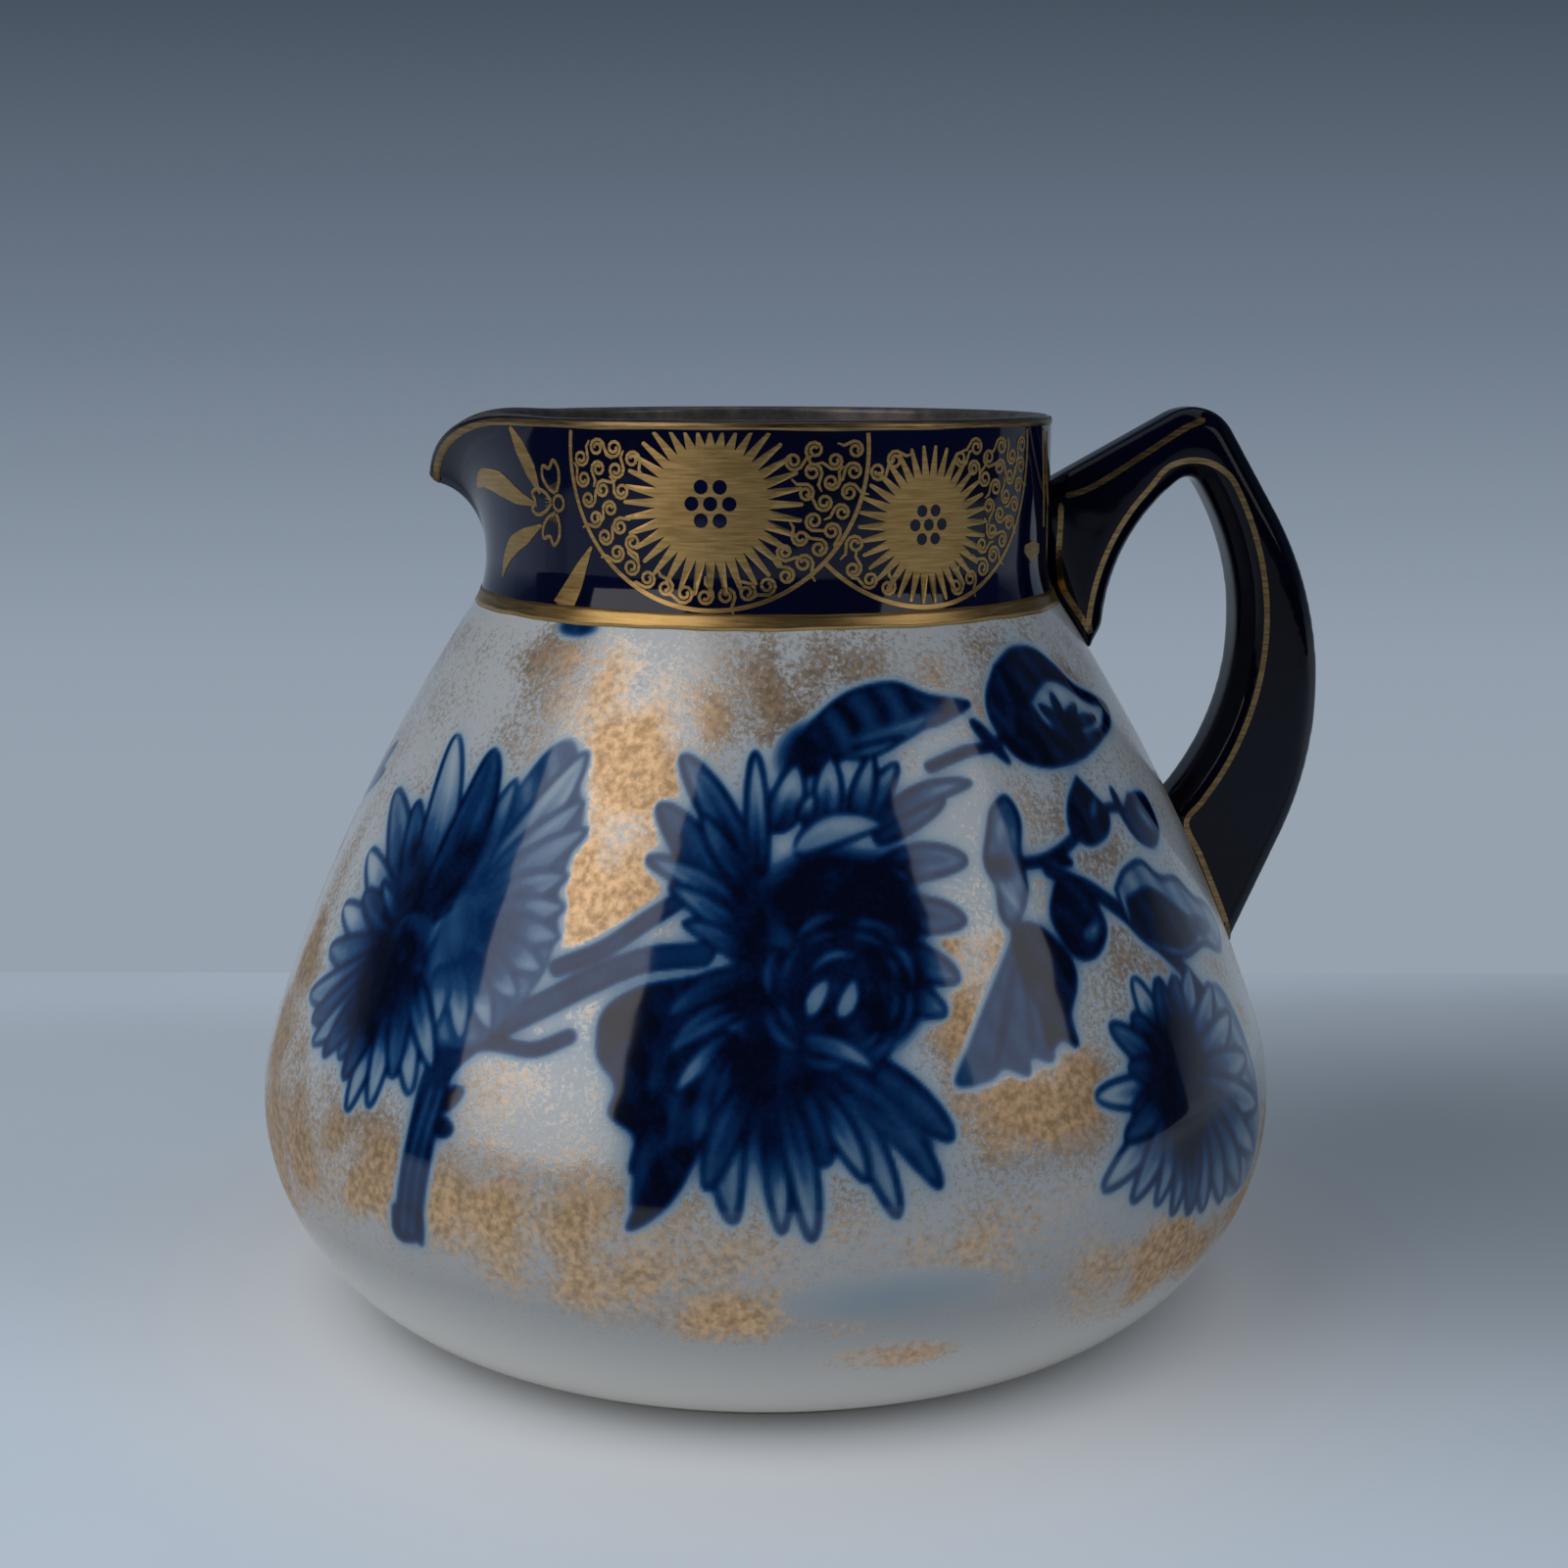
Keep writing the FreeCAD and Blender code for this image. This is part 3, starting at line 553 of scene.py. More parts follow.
    def shape(self, outline, tone=0.9, edge=0.97, line=0.55, streaks=0.08):
        """A leaf or pool bounded by a smooth closed curve through the outline's points."""
        path = smooth_path(outline + outline[:1], 6)
        middle = (path.min(axis=0) + path.max(axis=0)) / 2
        rows, columns, x, y = self.window(middle, np.abs(path - middle).max() + 1.0)
        away = np.full(x.shape, 1e9)
        enclosed = np.zeros(x.shape, dtype=bool)
        for (ax, ay), (bx, by) in zip(path[:-1], path[1:]):
            ex, ey = bx - ax, by - ay
            if ex == 0 and ey == 0:
                continue
            share = np.clip(((x - ax) * ex + (y - ay) * ey) / (ex * ex + ey * ey), 0, 1)
            away = np.minimum(away, np.hypot(x - ax - share * ex, y - ay - share * ey))
            if ay != by:
                enclosed ^= ((ay > y) != (by > y)) & (x < ex * (y - ay) / ey + ax)
        wash = tone + streaks * np.sin(1.6 * x + 0.9 * y + self.dice.uniform(0, TAU))
        self.lay(rows, columns, np.where(enclosed, away, -away), wash, edge, line)

    def petals(self, strokes, **look):
        """Petals one over another, each (start, end, width, tip tone, bend)."""
        for start, end, width, tip, bend in strokes:
            self.petal(start, end, width, bend, tip, **look)

    def blot(self, centre, across, up, tone, soft=0.35, tilt=0.0):
        """A soft-edged pool of colour."""
        rows, columns, x, y = self.window(centre, max(across, up) * (1 + soft) + 1)
        angle = math.radians(tilt)
        dx, dy = x - centre[0], y - centre[1]
        u = (dx * math.cos(angle) + dy * math.sin(angle)) / across
        v = (-dx * math.sin(angle) + dy * math.cos(angle)) / up
        inside = smooth_step(1 + soft, 1 - soft, np.hypot(u, v))
        place = np.ix_(rows, columns)
        self.blue[place] += (np.maximum(tone, self.blue[place]) - self.blue[place]) * inside
        self.cover[place] = np.maximum(self.cover[place], inside)


def smooth_path(points, steps):
    """A Catmull-Rom curve through the points."""
    points = np.array(points, float)
    ends = np.vstack([2 * points[0] - points[1], points, 2 * points[-1] - points[-2]])
    share = np.arange(steps)[:, None] / steps
    path = []
    for i in range(len(points) - 1):
        a, b, c, d = ends[i:i + 4]
        path.append(0.5 * (
            2 * b + (c - a) * share + (2 * a - 5 * b + 4 * c - d) * share ** 2
            + (3 * b - a - 3 * c + d) * share ** 3
        ))
    return np.vstack(path + [points[-1:]])


def paint_chrysanthemum(art):
    """The large flower: a ragged fan of petals round an incurved heart."""
    art.shape([(0.5, 18.5), (3.5, 25), (8, 29.5), (13.5, 30.8), (18, 29), (23.5, 27.6),
               (20, 25.6), (16, 24.6), (12.5, 22.6), (8, 21.8), (4, 20)], 0.80, streaks=0.14)
    art.petal((8, 23.6), (19.5, 27.4), 2.8, bend=-0.06, tip=0.30, base=0.6, edge=0.7)
    art.petal((7.5, 22.4), (15, 24.4), 1.9, bend=-0.05, tip=0.18, base=0.4)
    art.blot((4, 23), 3.4, 2.6, 1, soft=0.6, tilt=50)
    art.petals([
        ((11, 13), (19.5, 17), 4, 0.35, 0.05), ((11, 9.5), (22, 10), 4.4, 0.40, 0.05),
        ((12, 5), (21.5, 3.5), 4.2, 0.45, 0.03), ((11, 1), (20.5, -2.6), 4.2, 0.40, 0.04),
        ((10.5, -2), (19, -6), 4, 0.40, 0.03), ((11, 14), (23, 18.5), 3, 0.30, 0.1),
        ((9.5, 15), (14, 21.5), 3.4, 0.30, 0), ((9, 14.5), (11.2, 22.6), 3.2, 0.20, 0),
        ((6, 14.5), (6.6, 22.4), 3.8, 0.10, 0), ((0.5, 14), (3, 21.6), 4.2, 0.10, -0.04),
        ((3.4, 15), (4.8, 18.5), 2.4, 0.10, 0),
    ])
    art.petals([
        ((-3, 4), (-11.6, 17), 5.2, 0.62, -0.04), ((-2.5, 10), (-9.2, 22.6), 4.2, 0.42, -0.03),
        ((-2, 8), (-7, 16), 3.2, 0.50, 0.02), ((-1, 9), (-1.4, 23.2), 3, 0.14, 0),
        ((-2, 4), (-13, 11), 3.6, 0.30, -0.08), ((-2, 2), (-10.5, 8.2), 3.2, 0.34, -0.05),
        ((-2, 0.5), (-9, 4.4), 2.8, 0.42, -0.06),
    ], blunt=0.42)
    art.petals([
        ((-1, -1), (-10.6, -5.6), 3.6, 0.66, -0.08), ((-2, -4), (-10.4, -9.4), 3.4, 0.55, -0.08),
        ((-3, -7), (-9.6, -13.4), 3, 0.22, -0.06), ((-2.5, -8), (-7.6, -18.6), 3.6, 0.66, -0.06),
        ((6.5, -9), (19.4, -18.8), 4.4, 0.62, 0.04), ((6, -10), (18, -23.6), 3.6, 0.55, 0.05),
        ((5, -11), (13.4, -26.2), 3.8, 0.24, 0.05), ((3.5, -12), (10.2, -22.4), 3.4, 0.22, 0.04),
        ((-3, -9), (-3.6, -26.4), 4.4, 0.34, -0.05), ((2, -12), (6.2, -20.6), 4, 0.66, 0),
        ((0.5, -14), (1.4, -27.4), 3.2, 0.12, 0), ((1.5, -14), (4.5, -28.2), 3.6, 0.18, 0.03),
        ((-2, -12), (-6.4, -23), 3.8, 0.60, -0.03),
    ], blunt=0.42)
    art.petals([
        ((8, -11.5), (17.6, -19.6), 1, 0.25, 0.03), ((8, -13.5), (16.6, -22.6), 0.9, 0.22, 0.04),
    ], base=0.6, edge=0.7, vein=0)
    art.blot((-0.6, -9), 2.8, 11.5, 1, soft=0.5)
    art.blot((-1.6, 3), 2.2, 8, 0.97, soft=0.6)
    art.blot((6.8, 6.8), 7.8, 5.6, 1, soft=0.3)
    art.blot((12.5, 3), 4, 8, 0.98, soft=0.35)
    art.blot((8.4, -2.5), 8.4, 8, 0.90, soft=0.22)
    art.blot((3.4, -11), 3.6, 3.4, 0.92, soft=0.35)
    paint_heart(art, (7.4, -2.8))
    art.petal((2.6, 12), (12.2, 14.6), 4.2, bend=0.12, tip=0.16, base=0.30)
    art.petal((3, -7.6), (11.4, -11.4), 2.8, bend=0.08, tip=0.20, base=0.6)
    art.petal((12, 9.6), (15.6, 8), 1.8, bend=0.1, tip=0.5, base=0.8)


def paint_heart(art, centre):
    """Incurved petals: nested crescents that wrap two pale ones."""
    x, y = centre
    for size, tone, lean in ((7.8, 0.56, 0.2), (6.2, 0.40, 0.9), (4.6, 0.36, 0.5)):
        for angle in (-95, -55, -15, 25, 75, 130, 180, 225):
            turn = math.radians(angle) + lean
            start = (x + size * math.cos(turn), y + size * math.sin(turn))
            end = (x + size * 0.9 * math.cos(turn + 0.85), y + size * 0.9 * math.sin(turn + 0.85))
            art.petal(start, end, size * 0.27, bend=-0.16, tip=tone, base=0.78, vein=0)
    art.petal((x - 3.4, y + 1.6), (x + 2.6, y + 3.2), 2, bend=0.22, tip=0.30, base=0.6, vein=0)
    art.petal((x - 4.2, y + 3.8), (x + 0.8, y + 5.6), 1.6, bend=0.2, tip=0.42, base=0.8, vein=0)
    art.petal((x - 3.3, y - 2.6), (x - 1.1, y + 1.4), 2.9, bend=0.05, tip=0.08, base=0.12, vein=0)
    art.petal((x - 0.3, y - 2.8), (x + 1.4, y + 1.4), 2.9, bend=-0.1, tip=0.05, base=0.08, vein=0)
    art.petal((x + 1.8, y - 1.6), (x + 3.2, y + 1.8), 1.3, bend=-0.15, tip=0.35, base=0.5, vein=0)
    art.petal((x - 2.6, y - 3.6), (x + 2.4, y - 3.8), 1.3, bend=-0.16, tip=0.4, base=0.7, vein=0)


def paint_daisy(art):
    """The flower nearer the spout: long petals, two dark hearts side by side."""
    art.shape([(6, 17), (9, 24), (12, 25.2), (15, 20), (16.8, 16.5), (17, 9),
               (18.6, 4), (18.4, -1), (16, -5), (13, -8.6), (6, -9.5), (2, -6),
               (3, 4)], 0.52, edge=0.6, streaks=0.1)
    art.fan((4.5, 3), [
        (66, 23.4, 5.4, 0.20, -0.05), (54, 19.6, 4.6, 0.25, 0), (44, 18.4, 4.6, 0.30, 0.02),
        (30, 15, 4.4, 0.30, 0.04), (16, 14.6, 4.4, 0.25, 0.03), (3, 14.6, 4.4, 0.30, 0.03),
        (-12, 14.2, 4.2, 0.25, 0.03), (-28, 13.4, 4, 0.20, 0.03), (-46, 14, 4, 0.12, 0.03),
        (-62, 13.4, 3.8, 0.10, 0.03), (-80, 11.6, 3.6, 0.15, 0), (84, 17.5, 4, 0.35, 0),
    ], inner=4, base=0.62, edge=0.72)
    art.blot((10, 3), 4.6, 6, 0.66, soft=0.5, tilt=10)
    art.fan((-1, 0), [
        (134, 21.6, 6, 0.40, -0.05), (118, 17.5, 5, 0.55, 0), (103, 24.6, 6.4, 0.14, -0.05),
        (84, 23.4, 6.6, 0.66, -0.08), (154, 17.8, 5.4, 0.08, 0), (178, 18, 5, 0.10, 0.03),
        (166, 13.6, 4.4, 0.60, 0), (-166, 18.4, 4.8, 0.40, 0.04), (-152, 22.4, 5, 0.30, 0.05),
        (-143, 21, 4.8, 0.60, 0.04), (-135, 21, 4.4, 0.25, 0.04), (-117, 16.6, 4.2, 0.30, 0),
        (-126, 19, 4.2, 0.62, 0), (-99, 20, 4.2, 0.12, 0), (-108, 17.5, 4.2, 0.6, 0),
        (-88, 18.4, 4.2, 0.16, 0), (-67, 17, 4.2, 0.12, 0), (-77, 15, 4, 0.5, 0),
        (-54, 15.2, 3.8, 0.12, 0), (112, 12, 3, 0.25, 0), (150, 11, 2.6, 0.30, 0),
    ], inner=3.5, blunt=0.42)
    art.blot((-3.4, -4.5), 5.2, 8.5, 1, soft=0.4, tilt=-28)
    art.blot((-4, 7), 2.6, 4.5, 0.9, soft=0.5, tilt=25)
    art.blot((2.6, 8.5), 2.2, 6.5, 0.95, soft=0.5, tilt=-22)
    for angle in (10, 50, 90, 135, 185, 235, 290):
        turn = math.radians(angle)
        start = (-0.5 + 2 * math.cos(turn), 2.5 + 2.6 * math.sin(turn))
        end = (-0.5 + 5 * math.cos(turn + 0.3), 2.5 + 5.8 * math.sin(turn + 0.3))
        art.petal(start, end, 1.3, bend=0.1, tip=0.42, base=0.8, vein=0)


def paint_side_daisy(art):
    """The flower under the handle, seen half from the side."""
    art.shape([(8, 6), (16, 8), (21, 2), (22, -8), (19, -16), (8, -14)],
              0.34, edge=0.5, streaks=0.12)
    art.fan((1, 0), [
        (52, 14.5, 5.2, 0.30, -0.04), (30, 16, 4.8, 0.25, 0), (12, 17.5, 4.8, 0.20, 0),
        (-6, 19, 4.8, 0.25, 0), (-22, 21.5, 5, 0.20, 0), (-36, 23, 4.8, 0.20, 0),
        (-50, 21, 4.8, 0.30, 0), (-64, 18, 4.8, 0.30, 0), (-80, 16, 4.6, 0.34, 0),
        (66, 12.4, 4.6, 0.62, 0), (104, 13.2, 4.4, 0.12, 0), (84, 12, 4.6, 0.70, 0),
        (120, 10.5, 4.2, 0.65, 0), (137, 12.6, 4, 0.45, 0), (174, 14.2, 4.2, 0.10, 0),
        (155, 9, 3.8, 0.70, 0), (-172, 9.5, 3.8, 0.65, 0), (-152, 17.8, 4.2, 0.12, 0),
        (-162, 12, 3.8, 0.55, 0), (-137, 15.6, 4, 0.22, 0), (-121, 14.2, 3.6, 0.20, 0),
        (-106, 14.8, 3.6, 0.30, 0), (-92, 15.2, 4.2, 0.55, 0),
    ], inner=2.5, blunt=0.42)
    art.blot((0, -1), 4.4, 8, 1, soft=0.45)
    art.blot((4.5, 3), 3, 5, 0.95, soft=0.5)


def paint_bud_sprig(art):
    """Dark bud with a pale opening, on a twig towards the large flower."""
    art.stem([(-17, -0.5), (-14, 0.4), (-11.5, 1), (-8.5, 1.2), (-6, 2)], 1.3, tone=0.9)
    art.petal((-9.6, 4.6), (-6.6, -1.2), 1.9, tip=0.9, base=0.95)
    art.shape([(-3, 10.6), (1, 12.4), (5, 12), (8, 9.6), (11, 6.4), (18, 3),
               (16.5, 0.6), (12, -0.6), (5, -2.2), (-1.5, -2.2), (-5.6, -0.3), (-7, 4),
               (-6, 7.4)], 0.97)
    art.shape([(0.2, 5.6), (4.4, 7.7), (8, 7), (11.5, 4.4), (16, 2.8), (13.4, 0.8),
               (9.5, 0.6), (5, 0.9), (1.6, 2.4)], 0.12, edge=0.55, line=0.3)
    for tip in ((1.4, 5.2), (4.8, 6.4), (9, 4.2), (12.8, 2), (8, 0.6)):
        art.petal((4.6, 2.2), tip, 1.9, tip=0.82, base=0.95, vein=0)
    art.blot((4.8, 2), 2.6, 1.7, 0.92, soft=0.4)
    art.petal((-5, 2), (-3, 10), 1.4, bend=-0.1, tip=0.75, base=0.9, edge=0.85, vein=0)


def paint_twig(art):
    """The long leaf, the small buds and the broad leaf between the two right-hand flowers."""
    art.stem([(-1.6, 3.6), (1.2, 3.5), (4.2, 4.1), (7.6, 5.4)], 1.5, tone=0.9)
    art.stem([(2, 2.4), (5, 0.6), (7.1, -0.4), (12, -4.2), (17, -8.6), (21.5, -12.8),
              (25, -16.5)], 1.9, tone=0.88)
    art.shape([(-5.4, -4), (-3.4, -6), (-3.6, -12), (-3.8, -17.6), (-6.6, -17),
               (-7.4, -18.8), (-10.2, -17.6), (-12, -18.6), (-16.2, -18.6), (-13.6, -14.6),
               (-10.2, -10)], 0.62, edge=0.7, streaks=0.05)
    art.petals([
        ((-6, -7), (-11, -17), 1.2, 0.8, 0), ((-5, -9), (-6.4, -16.6), 1.1, 0.8, 0),
    ], edge=0.8, vein=0)
    art.shape([(-5.4, -3.4), (-3, -2.6), (-0.4, -4.2), (1.8, -7.4), (1.6, -10.4), (-0.2, -13.4),
               (-0.2, -16.8), (-2.2, -15.8), (-4.2, -16.4), (-4.6, -12), (-5.6, -7.8)], 0.95)
    art.shape([(-4.7, 8), (-3.4, 10.2), (-0.9, 11.4), (0.1, 8.6), (-1.1, 4.8), (-1.6, 0.9),
               (-3.3, -2), (-5.2, -3.2), (-6.2, -1.5), (-5.8, 1.4), (-6.3, 4.4)], 0.50)
    art.petal((-3.8, 4.6), (-2.4, 9.4), 2.4, tip=0.22, base=0.5, edge=0.5)
    art.petal((-4.8, 3.4), (-3.6, -1.8), 2.6, tip=0.12, base=0.3, edge=0.45)
    art.blot((-4.4, 3.6), 1.6, 1.4, 0.92, soft=0.5)
    art.shape([(11, 12.2), (13.2, 9.6), (15, 7), (13.2, 4.6), (9.3, 4), (6.9, 6.1),
               (7.9, 9.4)], 0.97)
    art.petal((11.4, 7), (13.2, 9), 1.2, tip=0.25, base=0.4, edge=0.6)
    art.stem([(15, 7.6), (17.6, 7.2), (19.6, 6.2)], 1.2, tone=0.9)
    art.petal((17.2, 9.8), (18.4, 4.6), 1.5, tip=0.9, base=0.95)
    art.shape([(20.9, 8.4), (26, 7.4), (27, 3.3), (23.3, 1.4), (19.3, 3.1), (17.9, 6.2)], 0.85)
    art.petal((22, 6.6), (25.2, 3), 1.9, tip=0.15, base=0.3, edge=0.6)
    art.shape([(2, 0.8), (5.2, 1.6), (7.6, -1.5), (8.4, -5.1), (5.9, -7.8), (2.7, -7.8),
               (0.9, -5.3), (0.3, -2.3)], 0.96)
    art.petal((4.4, -5.6), (7.2, -4.2), 1.9, bend=-0.1, tip=0.18, base=0.4, edge=0.6)
    art.petal((3, 3.6), (6, 2.6), 1.6, tip=0.85, base=0.95)
    art.shape([(11.4, -1.2), (14.3, 0.6), (18.6, 0.9), (22, -1.6), (26.8, -2.8), (31, -6),
               (36, -8), (39.5, -11.5), (35.5, -13.8), (29, -11.6), (22.7, -11.6),
               (16.8, -9.6), (12.4, -5.9)], 0.34)
    art.shape([(13, -2.6), (18.5, -2.4), (24.4, -6), (29, -9.4), (24, -10.6), (17.1, -8.8),
               (13.2, -6.1)], 0.98, line=0.3)
    art.petal((26, -8.4), (34, -10.4), 2.4, tip=0.6, base=0.8, edge=0.7)


def paint_stems(art):
    """Woody stems from the large flower down to the cut end near the spout side."""
    art.stem([(11.5, 12), (6.5, 8.5), (1.5, 4.5), (-3.5, 2)], 2, tone=0.72)
    art.stem([(12, 4.5), (6, 3.6), (0.5, 1), (-4.5, -2), (-13, -7)], 2.8, tone=0.72)
    art.stem([(-12, -5.5), (-16.5, -10.5), (-18, -20), (-19.2, -28)], 4, tone=0.86)
    art.shape([(-21.6, -26), (-17.2, -26), (-17.2, -30), (-18.6, -29), (-19.8, -30.2),
               (-21.6, -29.4)], 0.9)
    art.stem([(-15, -8), (-10, -6.8), (-5, -6.8), (-1, -5)], 1.6, tone=0.72)
    art.petal((-16.8, -15), (-12.8, -12), 2.4, tip=0.9, base=0.95)
    art.petal((-16.5, -16.5), (-13.4, -16.5), 2.4, tip=0.85, base=0.95)
    for aside in (-0.9, 0.5):
        art.stem([(-16.4 + aside, -13), (-17.9 + aside, -20), (-19.2 + aside, -28.6)], 0.6,
                 tone=0.40, edge=0.5)


def paint_low_leaf(art):
    """The broad dark leaf under the large flower."""
    art.shape([(-7, -1), (-13.5, -2.6), (-17.4, -5.5), (-18, -10), (-16, -13),
               (-16.6, -16), (-14, -18), (-14.4, -21.5), (-12.8, -22.5), (-14.6, -27.5),
               (-10.5, -25), (-7.6, -20.6), (-5.6, -15), (-4, -8)], 0.95, streaks=0.05)
    art.petals([
        ((-9, -5), (-12, -14), 2, 0.78, -0.06),
        ((-7.5, -8), (-10, -19), 1.8, 0.70, -0.05),
        ((-12, -17), (-13.8, -25.5), 1.8, 0.62, 0),
        ((-14.4, -8), (-16.2, -12), 1.4, 0.75, 0),
    ], edge=0.85, vein=0)


def paint_spray(art, turn):
    """One whole spray, as on the front, turned round the jug."""
    art.move_to(turn - 25, 50)
    paint_stems(art)
    art.move_to(turn - 4.8, 53.2)
    paint_low_leaf(art)
    art.move_to(turn + 40, 72)
    paint_bud_sprig(art)
    art.move_to(turn + 30, 58)
    paint_twig(art)
    art.move_to(turn - 4.8, 53.2)
    paint_chrysanthemum(art)
    art.move_to(turn - 49.6, 51.3)
    paint_daisy(art)
    art.move_to(turn + 42.9, 36)
    paint_side_daisy(art)
    art.move_to(turn - 84, 65.5)
    art.petals([((-5, -5), (3.4, 4.2), 3.6, 0.5, 0), ((-5, -4), (4.6, 0.6), 3, 0.6, 0)])


CLOUD_CONTRAST = 0.22
THIN_GOLD = 0.34
GOLD_BASE = 0.10
# How much the sponged gold varies, as (share, size of the patches in steps of the grid).
GOLD_CLOUDS = ((1.15, 6), (0.70, 18))
# How the blue bleeds into the glaze, as (share, spread in steps of the grid).
BLEEDS = ((0.42, 2.4), (0.16, 8))
WASH_CLOUD = 2.5
WASH_BLUR = 0.8
# Where gold was sponged on, as (bearing, height, degrees across, millimetres up, strength).
GOLD_PATCHES = [
    (-24, 66, 9, 17, 0.95), (-34, 80, 22, 6, 0.60), (2, 79, 30, 7, 0.72),
    (40, 77, 26, 8, 0.62), (18, 51, 8, 14, 0.95), (24, 38, 12, 7, 0.85),
    (-26, 26, 22, 9, 0.88), (-50, 27, 20, 9, 0.80), (-8, 19, 16, 4, 0.62),
    (-76, 44, 8, 18, 0.85), (-66, 26, 14, 12, 0.85), (42, 18, 18, 6.5, 0.95),
    (8, 12.5, 6, 2, 0.75), (36, 62, 20, 12, 0.50), (62, 22, 18, 9, 0.90),
    (20, 25, 14, 6, 0.70), (48, 50, 12, 8, 0.60), (84, 50, 18, 26, 0.66),
]


def cloud(art, sigma):
    """Soft random patches between 0 and 1, of a size given in steps of the painting grid."""
    field = blur(art.dice.normal(size=art.blue.shape), sigma)
    return np.clip(0.5 + field / field.std() * CLOUD_CONTRAST, 0.0, 1.0)


def gold_strength(art):
    """How thickly the gold was sponged at every vertex, before it is broken into specks."""
    heights = art.heights[:, None]
    total = THIN_GOLD * smooth_step(13.0, 24.0, heights) * smooth_step(86.4, 82.0, heights)
    total = np.broadcast_to(total, art.blue.shape)
    for turn in SPRAY_TURNS:
        for bearing, height, across, up, strength in GOLD_PATCHES:
            away = (art.bearings[None, :] - bearing - turn + 180) % 360 - 180
            gap = np.hypot(away / across, (heights - height) / up)
            total = np.maximum(total, strength * smooth_step(1.7, 0.2, gap))
    texture = GOLD_BASE
    for share, size in GOLD_CLOUDS:
        texture = texture + share * cloud(art, size)
    bare = smooth_step(0.42, 0.04, blur(art.cover, 2.4))
    return np.clip(total * texture * bare, 0.0, 1.0)


def make_paint():
    art = Painting()
    for turn in SPRAY_TURNS:
        paint_spray(art, turn)
    art.move_to(-41.0, 85.2)
    art.blot((0, 0), 2.6, 1.1, 0.8, soft=0.5)
    art.move_to(7.0, 20.0)
    art.blot((0, 0), 9.0, 2.0, 0.10, soft=0.8)
    gold = gold_strength(art)
    crisp = art.blue * (0.90 + 0.20 * cloud(art, WASH_CLOUD))
    bleed = sum(share * blur(crisp, spread) for share, spread in BLEEDS)
    art.blue = np.clip(np.maximum(blur(crisp, WASH_BLUR), bleed), 0.0, 1.0)
    return art, gold


# ---------------------------------------------------------------- materials
def painted_glaze():
    """White glaze with blue under it and specks of gold over it; the white carries painted light and
    shade that change with height.
    """
    nodes = Nodes("painted_glaze")
    # Painted light and shade on the white, by height: a warm pale band at the foot is painted bounce
    # light from the floor, a grey band about 17 mm up round the lower belly is painted shade, and above
    # it the white is paler again.
    low = nodes.math("DIVIDE", nodes.axis("Z"), 0.045, clamp=True)
    white_painted_light_and_shade = nodes.ramp(low, [
        (0.03, (0.84, 0.81, 0.74)), (0.2, (0.66, 0.64, 0.60)), (0.38, (0.43, 0.435, 0.435)),
        (0.9, (0.71, 0.735, 0.755)),
    ])
    grain = nodes.math("SUBTRACT", nodes.noise(1500, 4.0, 0.6), 0.5)
    density = nodes.attribute("blue")
    pooled = nodes.math("MULTIPLY", nodes.math("MULTIPLY", grain, 0.24), density)
    density = nodes.math("ADD", density, pooled, clamp=True)
    pigment = nodes.ramp(density, [
        (0.0, (1.0, 1.0, 1.0)), (0.10, (0.74, 0.86, 0.95)), (0.28, (0.27, 0.44, 0.66)),
        (0.50, (0.035, 0.15, 0.37)), (0.72, (0.004, 0.052, 0.20)), (0.90, (0.0006, 0.013, 0.075)),
        (1.0, (0.0003, 0.003, 0.022)),
    ])
    under = nodes.mix(1.0, white_painted_light_and_shade, pigment, "MULTIPLY")
    sponge = nodes.attribute("gold")
    specks = nodes.span(nodes.noise(1700, 5.0, 0.7), 0.30, 0.70)
    laid = nodes.span(nodes.math("SUBTRACT", sponge, specks), -0.22, 0.26)
    body = nodes.span(sponge, 0.0, 1.0, 0.34, 0.95)
    present = nodes.span(sponge, 0.02, 0.12)
    gold = nodes.math("MULTIPLY", nodes.math("MULTIPLY", laid, body), present)
    leaf = nodes.ramp(nodes.noise(1150, 3.0), [(0.35, (0.44, 0.26, 0.12)), (0.65, (0.82, 0.52, 0.28))])
    skin = nodes.math("ADD", nodes.noise(90, 2.0), nodes.math("MULTIPLY", gold, 0.12))
    return nodes.shader({
        "Base Color": nodes.mix(gold, under, leaf), "Metallic": nodes.math("MULTIPLY", gold, 0.85),
        "Roughness": nodes.span(gold, 0.0, 1.0, 0.07, 0.46), "IOR": 1.52,
        "Normal": nodes.bump(skin, 0.00018, 0.5),
    })


# ---------------------------------------------------------------- the bowl
INSIDE_ROWS = 26
FLOOR_CORNER = 5.0
CORNER_REACH = 6.0
UNDERSIDE_RADII = (2.0, 20.0, 38.0, 46.0, 48.4)
FLOOR_RADII = (40.0, 26.0, 12.0, 2.0)


def bowl_section(heights):
    """Half section of the bowl as (radius, height), and the number of its first painted row."""
    under = [(r, BOWL_FOOT) for r in UNDERSIDE_RADII]
    flat_end = under[-1]
    start = (bowl_radius(PAINT_LOW), PAINT_LOW)
    corner = (bowl_radius(BOWL_FOOT), BOWL_FOOT)
    for share in (0.25, 0.5, 0.75):
        away = 1 - share
        under.append(tuple(
            away * away * a + 2 * away * share * b + share * share * c
            for a, b, c in zip(flat_end, corner, start)
        ))
    outside = [(bowl_radius(z), z) for z in heights]
    inside = []
    for i in range(INSIDE_ROWS + 1):
        z = SHOULDER + (FLOOR + FLOOR_CORNER - SHOULDER) * i / INSIDE_ROWS
        inside.append((bowl_radius(z, BOWL_WALL), z))
    wall_end = inside[-1]
    for share in (0.3, 0.6, 0.85, 1.0):
        angle = share * math.pi / 2
        radius = wall_end[0] - CORNER_REACH * math.sin(angle) * share
        inside.append((radius, FLOOR + FLOOR_CORNER * math.cos(angle) ** 1.5))
    inside += [(r, FLOOR) for r in FLOOR_RADII]
    return under + outside + inside, len(under)


